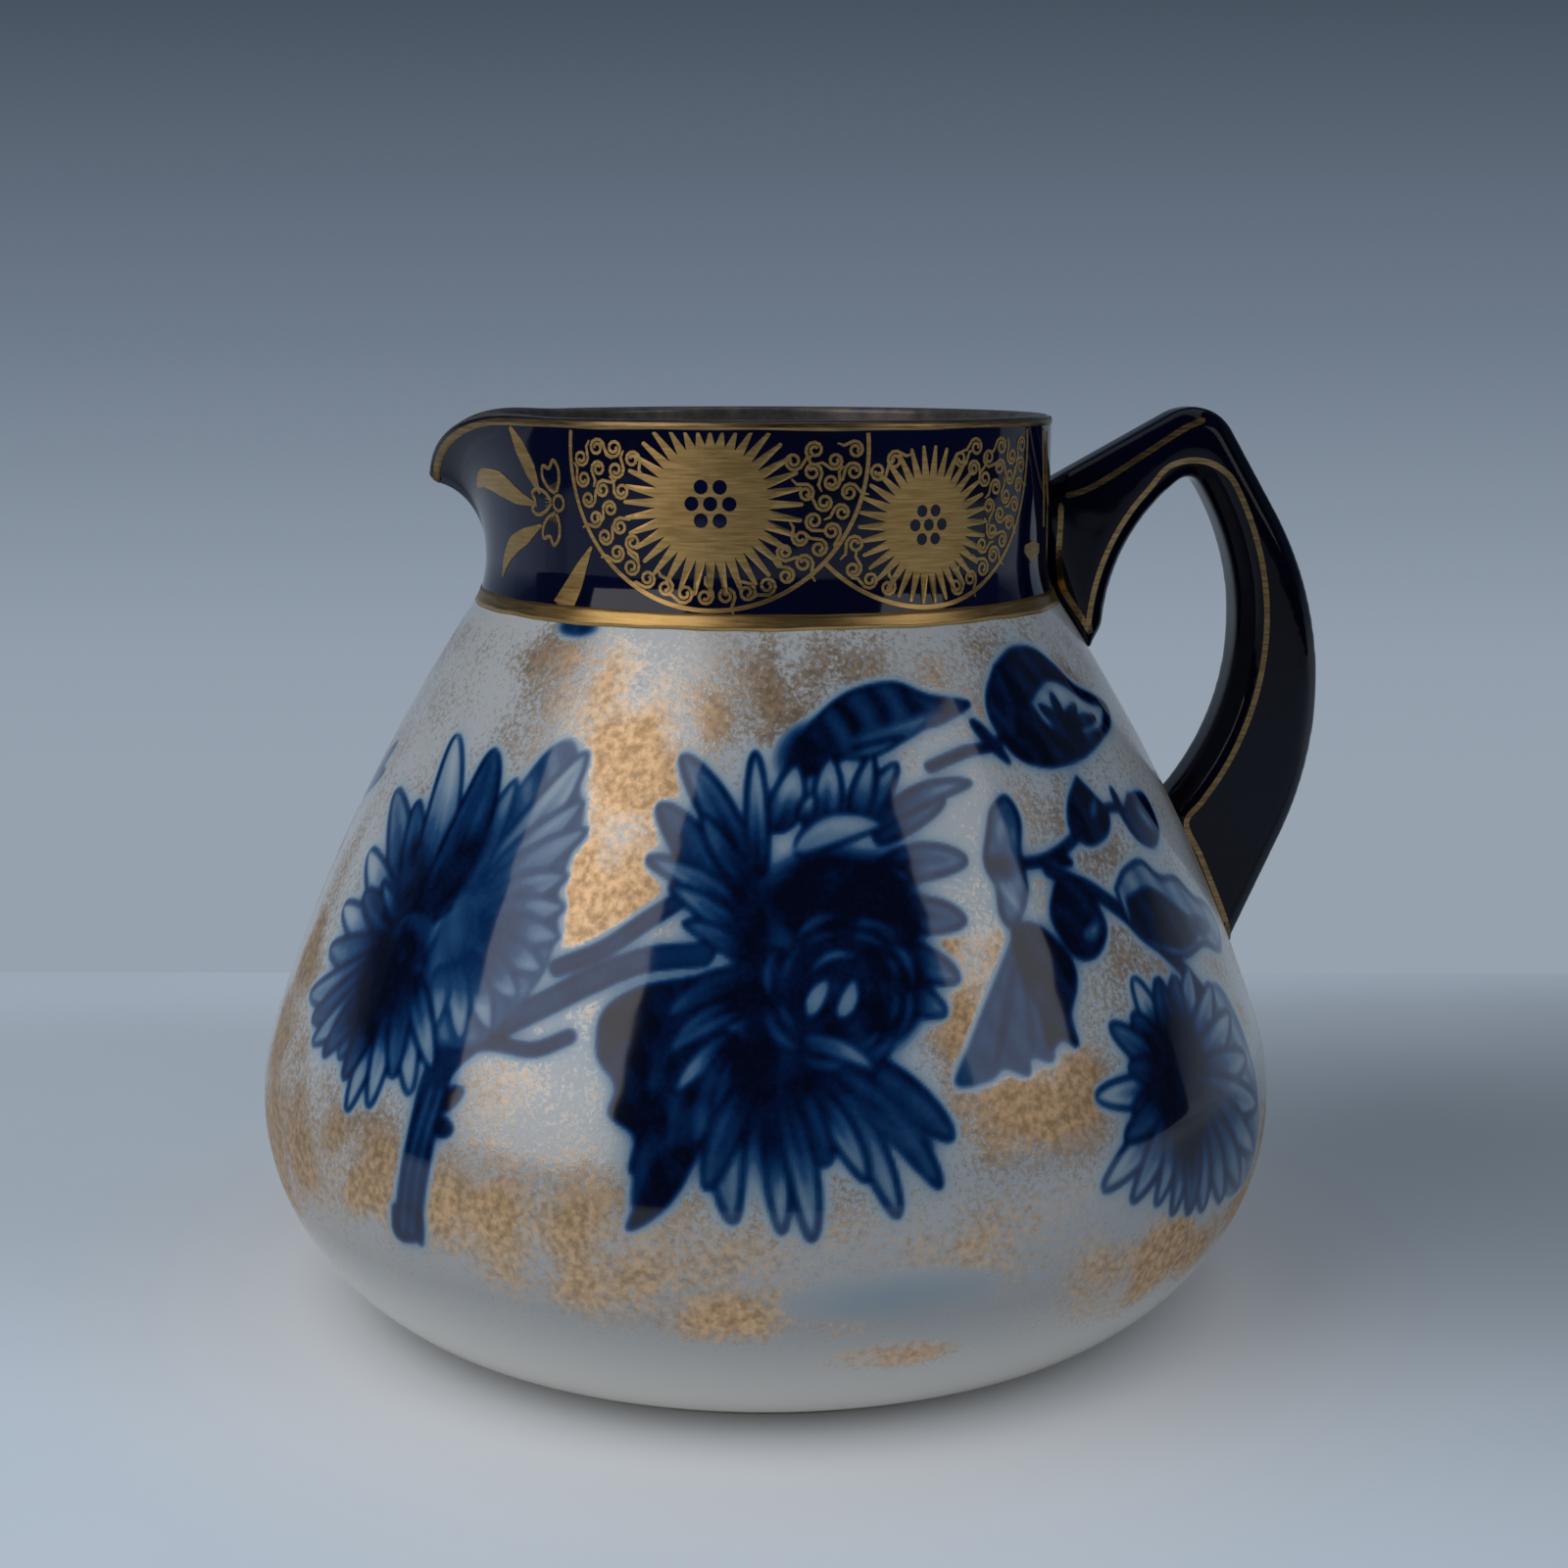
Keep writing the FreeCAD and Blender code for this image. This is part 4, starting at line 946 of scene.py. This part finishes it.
def make_bowl():
    art, gold = make_paint()
    section, first = bowl_section(art.heights)
    rows, columns = len(section), len(art.bearings)
    points = turned(np.array(section)[:, None, :], art.bearings).reshape(-1, 3)
    points = np.vstack([points, [[0, 0, BOWL_FOOT], [0, 0, FLOOR]]])
    ring = np.arange(columns)
    onward = np.roll(ring, -1)
    top, foot_pole, floor_pole = (rows - 1) * columns, rows * columns, rows * columns + 1
    caps = [
        np.stack([onward, ring, np.full(columns, foot_pole)], axis=-1),
        np.stack([top + ring, top + onward, np.full(columns, floor_pole)], axis=-1),
    ]
    faces = [grid_faces(rows, columns, closed=False), *caps]
    bowl = mesh_piece("painted_bowl", points, faces, painted_glaze())
    for name, values in (("blue", art.blue), ("gold", gold)):
        whole = np.zeros(len(points))
        whole[first * columns:(first + len(art.heights)) * columns] = values.ravel()
        set_attribute(bowl, name, whole)
    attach(bowl, "root")
    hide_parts("body_bowl")


# ---------------------------------------------------------------- neck and spout
NECK_COLUMNS = 480
FLARE_ROWS = 9
ELLIPSE_ROWS = 25
ELLIPSE_END = math.radians(75)
LIP_STEPS = 10
OUTSIDE_ROWS = FLARE_ROWS + ELLIPSE_ROWS
BORE_STEPS = 6
LIP_INSIDE_ROWS = 11
LIP_ROUND = 0.75
SPOUT_LIP_ROUND = 1.75
COBALT_DEEP, COBALT_THIN = (0.0010, 0.0014, 0.010), (0.0016, 0.0034, 0.034)
# The handle's cobalt is a darker copy of the collar's: painted shade that keeps the handle's side panels
# dark.
HANDLE_SHADED_DEEP, HANDLE_SHADED_THIN = (0.0007, 0.0008, 0.004), (0.0010, 0.0018, 0.016)


def cobalt_glaze(name, deep, thin, sheen):
    """Blue glaze, thinner and bluer in places, with a faintly uneven skin."""
    nodes = Nodes(name)
    depth = nodes.noise(60, 3.0, 0.55)
    tone = nodes.ramp(depth, [(0.35, deep), (0.7, thin)])
    skin = nodes.noise(110, 2.0)
    return nodes.shader({
        "Base Color": tone, "Roughness": 0.06, "IOR": 1.5, "Specular IOR Level": sheen,
        "Normal": nodes.bump(skin, 0.00016, 0.5),
    })


def white_glaze():
    nodes = Nodes("white_glaze")
    tone = nodes.ramp(nodes.noise(45, 3.0), [(0.3, (0.66, 0.66, 0.64)), (0.7, (0.74, 0.74, 0.73))])
    skin = nodes.noise(100, 2.0)
    return nodes.shader({
        "Base Color": tone, "Roughness": 0.08, "IOR": 1.5, "Normal": nodes.bump(skin, 0.00015, 0.5),
    })


def lip_lustre():
    """Worn gilding over blue, on the lip and just inside it."""
    nodes = Nodes("lip_lustre")
    worn = nodes.noise(420, 4.0, 0.65)
    tone = nodes.ramp(worn, [(0.35, (0.085, 0.080, 0.095)), (0.65, (0.20, 0.165, 0.14))])
    return nodes.shader({
        "Base Color": tone, "Metallic": 0.35, "Roughness": 0.32,
        "Normal": nodes.bump(worn, 0.00004, 0.4),
    })


def spout_point(bearing, angle, inside):
    """A (radius, height) point on the quarter ellipse of the outer or inner face."""
    outer_top, inner_top, fall = lip_tops(bearing)
    top = inner_top if inside else outer_top
    height = SPOUT_ROOT + (top - SPOUT_ROOT) * math.sin(angle)
    draw = SPOUT_REACH * drawn(bearing)
    start = NECK_RADIUS
    if inside:
        start = bore_radius(height)
        draw += (NECK_RADIUS - RIM_BORE) * fall
    return np.array([start + draw * (1 - math.cos(angle)), height])


def neck_section(bearing):
    """Radial section of the neck: up the outside, over a rounded lip, down the inside."""
    outside = []
    for i in range(FLARE_ROWS):
        height = SHOULDER + (SPOUT_ROOT - SHOULDER) * i / FLARE_ROWS
        outside.append((neck_radius(bearing, height), height))
    angles = [ELLIPSE_END * i / (ELLIPSE_ROWS - 1) for i in range(ELLIPSE_ROWS)]
    outside += [spout_point(bearing, angle, False) for angle in angles]
    inside = [spout_point(bearing, angle, True) for angle in angles]
    reach = LIP_ROUND + SPOUT_LIP_ROUND * drawn(bearing)
    away = [np.subtract(face[-1], face[-2]) for face in (outside, inside)]
    away = [step / np.hypot(*step) * reach for step in away]
    first, last = np.array(outside[-1]), np.array(inside[-1])
    lip = []
    for i in range(1, LIP_STEPS):
        t = i / LIP_STEPS
        lip.append(
            (1 - t) ** 3 * first + 3 * (1 - t) ** 2 * t * (first + away[0])
            + 3 * (1 - t) * t * t * (last + away[1]) + t ** 3 * last
        )
    bore = []
    for i in range(1, BORE_STEPS + 1):
        height = SPOUT_ROOT + (SHOULDER - SPOUT_ROOT) * i / BORE_STEPS
        bore.append((bore_radius(height), height))
    return np.array(outside + lip + inside[::-1] + bore)


def make_neck():
    bearings = np.arange(NECK_COLUMNS) * 360.0 / NECK_COLUMNS
    sections = np.stack([neck_section(b) for b in bearings], axis=1)
    glaze = cobalt_glaze("cobalt_glaze", COBALT_DEEP, COBALT_THIN, 0.4)
    neck = grid_mesh("collar_and_spout", turned(sections, bearings), glaze)
    neck.data.materials.append(lip_lustre())
    neck.data.materials.append(white_glaze())
    lip_from = OUTSIDE_ROWS + LIP_STEPS // 4
    white_from = OUTSIDE_ROWS + LIP_STEPS + LIP_INSIDE_ROWS
    rows = np.repeat(np.arange(sections.shape[0]), NECK_COLUMNS)
    zone = (rows >= lip_from).astype(np.int32) + (rows >= white_from).astype(np.int32)
    neck.data.polygons.foreach_set("material_index", zone)
    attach(neck, "root")
    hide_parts("neck_collar", "pouring_spout")


# ---------------------------------------------------------------- gilding
SUN_BEARING, SUN_HEIGHT = -15.3, 99.1
FAR_SUN_BEARING, FAR_SUN_HEIGHT = 26.0, 96.6
RING_RADIUS = 17.3
RING_HEIGHT = 104.9
GOLD_TOP = 106.7
GOLD_LIFT = 0.07
GOLD_SINK = 0.06
RAY_ROOT = 0.97
RAY_TIP = 0.24
RAY_SLOPE = 0.12
OPENING_RING = 2.6
OPENING_SIDES = 14
RING_WIDTH = 0.48
SCROLL_WIDTH = 0.35
SCROLL_POINTS = 17
SCROLL_TURNS = 1.55
SCROLL_ROWS = 6
SCROLL_ROW_GAP = 2.25
SCROLL_GAP = 2.3
SCROLL_MARGIN = 1.5


def gold_leaf(name, dull, bright):
    """Burnished gold, brushed along the collar and a little worn."""
    nodes = Nodes(name)
    brushed = nodes.add("Mapping", {"Vector": nodes.position(), "Scale": (1.0, 1.0, 14.0)})
    streak = nodes.add("TexNoise", {
        "Vector": brushed.outputs[0], "Scale": 260.0, "Detail": 4.0, "Roughness": 0.6,
    }).outputs["Fac"]
    tone = nodes.ramp(streak, [(0.30, dull), (0.70, bright)])
    return nodes.shader({
        "Base Color": tone, "Metallic": 1.0, "Roughness": nodes.span(streak, 0.0, 1.0, 0.24, 0.46),
        "Normal": nodes.bump(streak, 0.00004, 0.4),
    })


class Leaf:
    """Thin closed patches of gold, gathered into one mesh.

    Shapes are drawn in millimetres round an anchor on the neck: x along the neck towards the
    handle, y upwards. The back of the jug has the mirror image of the front.
    """

    def __init__(self, name, mirrored):
        self.name = name
        self.mirrored = mirrored
        self.points = []
        self.faces = []
        self.anchor = (0.0, 0.0)

    def place(self, x, y, lift):
        bearing = self.anchor[0] + math.degrees(x / NECK_RADIUS)
        spot = neck_spot(bearing, self.anchor[1] + y, lift)
        return (spot.x, -spot.y if self.mirrored else spot.y, spot.z)

    def add(self, points, faces):
        base = len(self.points)
        self.points += points
        for face in faces:
            face = [base + i for i in face]
            self.faces.append(face[::-1] if self.mirrored else face)

    def ribbon(self, path, width, ends=(0.35, 0.35), place=None):
        """A stroke of the given width (a number, or one for each point), tapered at its ends."""
        place = place or self.place
        path = np.array(path, float)
        along = np.gradient(path, axis=0)
        along /= np.maximum(np.hypot(along[:, 0], along[:, 1]), 1e-9)[:, None]
        side = np.stack([-along[:, 1], along[:, 0]], axis=-1)
        half = np.broadcast_to(np.asarray(width, float) / 2, (len(path),)).copy()
        half[0] *= ends[0]
        half[-1] *= ends[1]
        points, faces = [], []
        for (x, y), (sx, sy), h in zip(path, side, half):
            points.append(place(x + sx * h, y + sy * h, -GOLD_SINK))
            points.append(place(x + sx * h, y + sy * h, GOLD_LIFT))
            points.append(place(x - sx * h, y - sy * h, GOLD_LIFT))
            points.append(place(x - sx * h, y - sy * h, -GOLD_SINK))
        for i in range(len(path) - 1):
            for k in range(4):
                low, high = 4 * i, 4 * i + 4
                faces.append([low + k, high + k, high + (k + 1) % 4, low + (k + 1) % 4])
        end = 4 * len(path) - 4
        faces += [[0, 1, 2, 3], [end + 3, end + 2, end + 1, end]]
        self.add(points, faces)

    def patch(self, outline, holes=()):
        """A filled shape with holes, laid on the surface."""
        flat, edges = [], []
        for loop in [outline, *holes]:
            start = len(flat)
            flat += [Vector(p) for p in loop]
            edges += [(start + i, start + (i + 1) % len(loop)) for i in range(len(loop))]
        box = np.array(outline)
        low, high = box.min(axis=0), box.max(axis=0)
        for x in np.arange(low[0] + 0.5, high[0], 1.0):
            for y in np.arange(low[1] + 0.5, high[1], 1.0):
                flat.append(Vector((float(x), float(y))))
        spots, _, triangles, *_ = delaunay_2d_cdt(flat, edges, [], 1, 1e-5)
        centres = [sum((spots[i] for i in t), Vector((0, 0))) / 3 for t in triangles]
        triangles = [
            t for t, centre in zip(triangles, centres)
            if not any(encloses(hole, centre) for hole in holes)
        ]
        count = len(spots)
        points = [self.place(p.x, p.y, GOLD_LIFT) for p in spots]
        points += [self.place(p.x, p.y, -GOLD_SINK) for p in spots]
        faces = [list(t) for t in triangles]
        rim = {}
        for t in triangles:
            for a, b in zip(t, [*t[1:], t[0]]):
                if (b, a) in rim:
                    del rim[(b, a)]
                else:
                    rim[(a, b)] = True
        faces += [[i + count for i in reversed(t)] for t in triangles]
        faces += [[b, a, a + count, b + count] for a, b in rim]
        self.add(points, faces)

    def finish(self, material, *nodes):
        mesh = bpy.data.meshes.new(self.name)
        mesh.from_pydata([Vector(p) * MM for p in self.points], [], self.faces)
        work = bmesh.new()
        work.from_mesh(mesh)
        bmesh.ops.delete(work, geom=[v for v in work.verts if not v.link_faces], context="VERTS")
        work.to_mesh(mesh)
        work.free()
        mesh.materials.append(material)
        piece = link(bpy.data.objects.new(self.name, mesh))
        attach(piece, "root")
        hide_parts(*nodes)


def encloses(loop, point):
    """Whether a point lies inside a closed loop that is convex and runs anticlockwise."""
    for (ax, ay), (bx, by) in zip(loop, [*loop[1:], loop[0]]):
        if (bx - ax) * (point.y - ay) - (by - ay) * (point.x - ax) < 0:
            return False
    return True


def circle(centre, radius, count, start=0.0, end=360.0):
    closed = end - start >= 360.0
    steps = count if closed else count - 1
    turn = [math.radians(start + (end - start) * i / steps) for i in range(count)]
    return [(centre[0] + radius * math.cos(a), centre[1] + radius * math.sin(a)) for a in turn]


def draw_sun(leaf, core, radius, rays, dot):
    """A disc with tapering rays, cut off at the rim line, and seven round openings."""
    room = GOLD_TOP - leaf.anchor[1]
    outline = []
    for i in range(rays):
        middle = TAU * i / rays
        root = math.pi / rays * RAY_ROOT
        tip = math.pi / rays * RAY_TIP
        edge = radius - RAY_SLOPE
        for angle, reach in ((-root, core), (-tip, edge), (0.0, radius), (tip, edge), (root, core)):
            turn = middle + angle
            if reach * math.sin(turn) > room:
                reach = room / math.sin(turn)
            outline.append((reach * math.cos(turn), reach * math.sin(turn)))
    spots = [(0.0, 0.0)]
    for i in range(6):
        angle = TAU * i / 6
        spots.append((dot * OPENING_RING * math.cos(angle), dot * OPENING_RING * math.sin(angle)))
    leaf.patch(outline, [circle(spot, dot, OPENING_SIDES) for spot in spots])


def draw_scroll(leaf, x, y, size, turn, hand):
    """One curl: a tail that winds into a spiral."""
    path = []
    for i in range(SCROLL_POINTS):
        share = i / (SCROLL_POINTS - 1)
        angle = turn + hand * share * SCROLL_TURNS * TAU
        radius = size * (1.0 - 0.72 * share ** 0.8)
        path.append((x + radius * math.cos(angle), y + radius * math.sin(angle)))
    start = np.array(path[0]) * 2 - np.array(path[1])
    tail = start + (start - np.array((x, y))) * 0.55
    path = [tuple(tail), tuple(start)] + path
    leaf.ribbon(path, SCROLL_WIDTH, ends=(0.5, 1.0))


def draw_scrolls(leaf, tips, seed, taken=None):
    """Rows of curls inside a ring, from the ring inwards to the tips of the rays."""
    dice = np.random.default_rng(seed)
    middle = RING_HEIGHT - leaf.anchor[1]
    for level in range(SCROLL_ROWS):
        row = RING_RADIUS - SCROLL_MARGIN - SCROLL_ROW_GAP * level
        count = int(TAU * row / SCROLL_GAP)
        for i in range(count):
            angle = TAU * (i + 0.5 * (level % 2)) / count
            x, y = row * math.cos(angle), middle + row * math.sin(angle)
            if math.hypot(x, y) < tips - 0.7 or leaf.anchor[1] + y > GOLD_TOP - 1.0:
                continue
            if taken and math.hypot(x - taken[0], y - taken[1]) < RING_RADIUS + 1.1:
                continue
            hand = 1 if (i + level) % 2 else -1
            turn = angle + dice.uniform(-0.9, 0.9) + (0 if i % 2 else math.pi)
            draw_scroll(leaf, x, y, dice.uniform(1.0, 1.14), turn, hand)


def draw_ring(leaf, taken=None):
    """The circle round a medallion, from rim line to rim line."""
    y = RING_HEIGHT - leaf.anchor[1]
    open_half = math.degrees(math.asin((GOLD_TOP - RING_HEIGHT) / RING_RADIUS))
    path = []
    for point in circle((0.0, y), RING_RADIUS, 130, open_half - 180.0 - 2 * open_half, open_half):
        hidden = taken and math.hypot(point[0] - taken[0], point[1] - taken[1]) < RING_RADIUS - 0.1
        if not hidden:
            path.append(point)
    leaf.ribbon(path, RING_WIDTH, ends=(1.0, 1.0))


def draw_medallions(leaf):
    apart = math.radians(FAR_SUN_BEARING - SUN_BEARING) * NECK_RADIUS
    leaf.anchor = (SUN_BEARING, SUN_HEIGHT)
    draw_sun(leaf, 6.3, 10.1, 36, 0.80)
    draw_scrolls(leaf, 10.1, 3)
    draw_ring(leaf)
    leaf.anchor = (FAR_SUN_BEARING, FAR_SUN_HEIGHT)
    near = (-apart, RING_HEIGHT - FAR_SUN_HEIGHT)
    draw_sun(leaf, 5.4, 8.7, 34, 0.68)
    draw_scrolls(leaf, 8.7, 5, near)
    draw_ring(leaf, near)


def draw_leaf(leaf, points, widths):
    """A wavy leaf: a ribbon that swells along its smooth path."""
    path = smooth_path(points, 8)
    share = np.linspace(0, 1, len(path))
    width = np.interp(share, np.linspace(0, 1, len(widths)), widths)
    leaf.ribbon(path, width, ends=(1.0, 1.0))


def draw_blossom(leaf, turns):
    """Outlined petals, each notched at its end, round a small ring."""
    leaf.ribbon(circle((0, 0), 0.85, 15) + [(0.85, 0)], 0.36, ends=(1.0, 1.0))
    for turn in turns:
        angle = math.radians(turn)
        way = np.array([math.cos(angle), math.sin(angle)])
        side = np.array([-way[1], way[0]])
        shape = [(1.2, 0.1), (2.2, 1.0), (3.6, 1.45), (4.7, 0.95), (4.1, 0.0)]
        shape += [(a, -b) for a, b in shape[-2::-1]]
        path = smooth_path([way * a + side * b for a, b in shape], 5)
        leaf.ribbon(path, 0.42, ends=(0.8, 0.8))
        for lean in (-0.35, 0.0, 0.35):
            leaf.ribbon([way * 1.3 + side * lean * 0.6, way * 2.3 + side * lean * 1.3], 0.24)


def draw_spray(leaf):
    """The blossom beside the near medallion, and the leaves that reach to the spout."""
    leaf.anchor = (-47.5, 98.6)
    draw_blossom(leaf, (112, 180, 248))
    draw_leaf(leaf, [(-8.4, 8.2), (-6.9, 6), (-4.9, 3.4), (-3.2, 0.9)], [0.5, 1.9, 1.9, 0.3])
    draw_leaf(leaf, [(-20, 0.9), (-16.6, 2), (-12, 1.6), (-8, 0.4), (-3.8, -0.4)],
              [0.5, 2.3, 2.9, 1.8, 0.3])
    draw_leaf(leaf, [(-3, -2.6), (-6.2, -4), (-9.4, -5.4), (-11.6, -7.4), (-12.4, -9.2)],
              [0.3, 1.9, 2.3, 1.4, 0.4])
    draw_leaf(leaf, [(4.9, -4.6), (3.4, -7), (2.2, -9.2), (0.9, -11.6)], [0.3, 1.5, 2.5, 3.2])
    leaf.anchor = (62, 96)
    draw_leaf(leaf, [(-4.4, -3), (-2, -3.5), (0.6, -3.3)], [0.8, 2.6, 1])
    draw_leaf(leaf, [(3.6, 10.2), (4, 6), (6, 1.4)], [0.6, 1.3, 0.4])
    draw_leaf(leaf, [(1.4, 10.4), (2.6, 5), (3, -1)], [0.6, 1.1, 0.4])


def shoulder_line(bearings, section):
    """A ring on the shoulder with slightly uneven edges."""
    rows = []
    wave = np.radians(bearings)
    uneven = 0.07 * np.sin(3 * wave + 1.0) + 0.05 * np.sin(11 * wave) + 0.03 * np.sin(29 * wave)
    for height, lift in section:
        z = SHOULDER + height + (uneven if height < 0 else -0.5 * uneven)
        radius = np.array([
            bowl_radius(v) if v < SHOULDER else neck_radius(0.0, v) for v in z
        ]) + lift
        rows.append(np.stack([radius, z], axis=-1))
    return turned(np.stack(rows), bearings)


def rim_line(bearings):
    """Gold just under the lip, all round the neck and along the spout."""
    rows = []
    for bearing in bearings:
        face = neck_section(bearing)[:OUTSIDE_ROWS + LIP_STEPS // 4]
        run = np.concatenate([[0.0], np.cumsum(np.hypot(*np.diff(face, axis=0).T))])
        wobble = 0.05 * math.sin(math.radians(bearing * 7)) + 0.04 * math.sin(math.radians(bearing * 17))
        spots = run[-1] - np.array([0.02, 0.2, 0.55, 0.95 + wobble])
        strip = np.stack([np.interp(spots, run, face[:, 0]), np.interp(spots, run, face[:, 1])], axis=-1)
        way = strip[0] - strip[-1]
        way = way / np.hypot(*way)
        out = np.array([way[1], -way[0]])
        rows.append(np.vstack([strip + out * GOLD_LIFT, strip[::-1] - out * GOLD_SINK]))
    return turned(np.stack(rows, axis=1), bearings)


def make_collar_gold(gold, worn):
    for side, mirrored in (("front", False), ("back", True)):
        leaf = Leaf("gilded_collar_" + side, mirrored)
        draw_medallions(leaf)
        draw_spray(leaf)
        nodes = [f"gilt_{part}_{side}_{end}" for part in ("sun", "ring") for end in ("spout", "handle")]
        leaf.finish(gold, *nodes)
    bearings = np.arange(NECK_COLUMNS) * 360.0 / NECK_COLUMNS
    band = [(-0.85, -0.06), (-0.85, 0.08), (-0.3, 0.13), (0.4, 0.13), (0.9, 0.08), (0.9, -0.06)]
    ring = grid_mesh("gilded_band", shoulder_line(bearings, band)[::-1], gold)
    line = grid_mesh("gilded_rim", rim_line(bearings), worn)
    for piece, nodes in ((ring, ["gilt_shoulder_band"]), (line, ["gilt_rim_line", "gilt_lip_line"])):
        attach(piece, "root")
        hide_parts(*nodes)


# ---------------------------------------------------------------- handle
GRIP_CENTRE = (26.0, 81.6)
WEB_CENTRE = (66.0, 80.8)
SOFTEN_STEPS = 9
SOFTEN_SHARE = 0.6
VOXEL = 0.42
LINE_WIDTH = 0.7
LOOK_FROM = 20.0


def make_handle():
    """The CAD handle, its edges worn round like thrown clay, left sharp where it meets the jug."""
    source = bpy.data.objects["handle"]
    handle = link(bpy.data.objects.new("glazed_handle", source.data.copy()))
    handle.matrix_world = source.matrix_world.copy()
    remesh = handle.modifiers.new("even", "REMESH")
    remesh.mode = "VOXEL"
    remesh.voxel_size = VOXEL * MM
    evaluated = handle.evaluated_get(bpy.context.evaluated_depsgraph_get())
    mesh = bpy.data.meshes.new_from_object(evaluated)
    handle.modifiers.clear()
    handle.data = mesh
    soften(handle)
    mesh.materials.clear()
    # Painted shade: a darker copy of the cobalt glaze, with less sheen.
    mesh.materials.append(cobalt_glaze("handle_glaze_shaded", HANDLE_SHADED_DEEP, HANDLE_SHADED_THIN, 0.2))
    mesh.shade_smooth()
    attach(handle, "root")
    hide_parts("handle")
    return handle


def soften(piece):
    """Averages each vertex with its neighbours, away from the seat on the jug."""
    mesh = piece.data
    count = len(mesh.vertices)
    spots = np.empty(count * 3)
    mesh.vertices.foreach_get("co", spots)
    spots = spots.reshape(-1, 3)
    pairs = np.empty(len(mesh.edges) * 2, dtype=np.int32)
    mesh.edges.foreach_get("vertices", pairs)
    pairs = pairs.reshape(-1, 2)
    number = np.bincount(pairs.ravel(), minlength=count)[:, None]
    radius = np.hypot(spots[:, 0], spots[:, 1]) / MM
    height = spots[:, 2] / MM
    wall = np.array([
        bowl_radius(z) if z < SHOULDER else neck_radius(90.0, min(z, RIM)) for z in height
    ])
    free = smooth_step(0.3, 1.6, radius - wall)[:, None]
    for _ in range(SOFTEN_STEPS):
        near = np.zeros_like(spots)
        np.add.at(near, pairs[:, 0], spots[pairs[:, 1]])
        np.add.at(near, pairs[:, 1], spots[pairs[:, 0]])
        spots = spots + (near / number - spots) * SOFTEN_SHARE * free
    mesh.vertices.foreach_set("co", spots.ravel())
    mesh.update()


def jug_side(height):
    """How far out the jug's wall is at a height, in the plane of a handle panel."""
    radius = bowl_radius(height) if height < SHOULDER else neck_radius(90.0, height)
    return math.sqrt(radius * radius - HANDLE_HALF * HANDLE_HALF)


def handle_lines():
    """The gold lines on a side panel, as (x, z) paths: round the web and grip, and the arm."""
    inner = [(jug_side(z) + 0.8, z) for z in (41.0, 45.0, 49.0, 53.0, 57.0)]
    inner += circle(GRIP_CENTRE, 36.0, 12, -37.5, 30.0)
    inner += circle((52.0, 96.3), 6.1, 5, 52.0, 126.0)
    inner += circle(WEB_CENTRE, 26.6, 8, 137.0, 176.0)
    inner += [(jug_side(z) + 1.5, z) for z in (81.2, 84.0, 87.0, 91.0, 95.0, 97.2)]
    arm = [(36.2, 98.0), (39.7, 99.3), (46.0, 103.2), (50.6, 106.1), (53.4, 107.3)]
    return smooth_path(inner, 5), smooth_path(arm, 8)


def make_handle_gold(gold, handle):
    """Gold lines laid on the handle, found by looking straight at each side of it."""
    surface = BVHTree.FromObject(handle, bpy.context.evaluated_depsgraph_get())
    inner, arm = handle_lines()
    for side, mirrored in (("front", False), ("back", True)):
        leaf = Leaf("gilded_handle_" + side, mirrored)
        sign = 1 if mirrored else -1

        def on_panel(x, z, lift):
            start = Vector((x, sign * LOOK_FROM, z)) * MM
            spot, normal, *_ = surface.ray_cast(start, Vector((0, -sign, 0)))
            if spot is None:
                return (x, sign * HANDLE_HALF * 0.5, z)
            return tuple(spot / MM + normal * lift)

        leaf.ribbon(inner, LINE_WIDTH, ends=(0.5, 0.5), place=on_panel)
        leaf.ribbon(arm, LINE_WIDTH, ends=(0.65, 0.25), place=on_panel)
        leaf.finish(gold, "gilt_handle_" + side)


def make_foot_material():
    """Unglazed ring under the bowl."""
    nodes = Nodes("biscuit")
    tone = nodes.ramp(nodes.noise(500, 4.0), [(0.3, (0.40, 0.35, 0.28)), (0.7, (0.56, 0.51, 0.43))])
    grit = nodes.noise(1500, 3.0)
    biscuit = nodes.shader({
        "Base Color": tone, "Roughness": 0.85, "Normal": nodes.bump(grit, 0.0001, 0.6),
    })
    foot = bpy.data.objects["foot_ring"]
    foot.data.materials.clear()
    foot.data.materials.append(biscuit)


make_camera()
make_lights()
make_stage()
make_bowl()
make_neck()
WORN_GOLD = gold_leaf("worn_gilding", (0.13, 0.085, 0.045), (0.42, 0.27, 0.115))
make_collar_gold(gold_leaf("gilding", (0.38, 0.225, 0.075), (0.62, 0.39, 0.155)), WORN_GOLD)
make_handle_gold(WORN_GOLD, make_handle())
make_foot_material()
bpy.context.scene.view_settings.view_transform = "Standard"
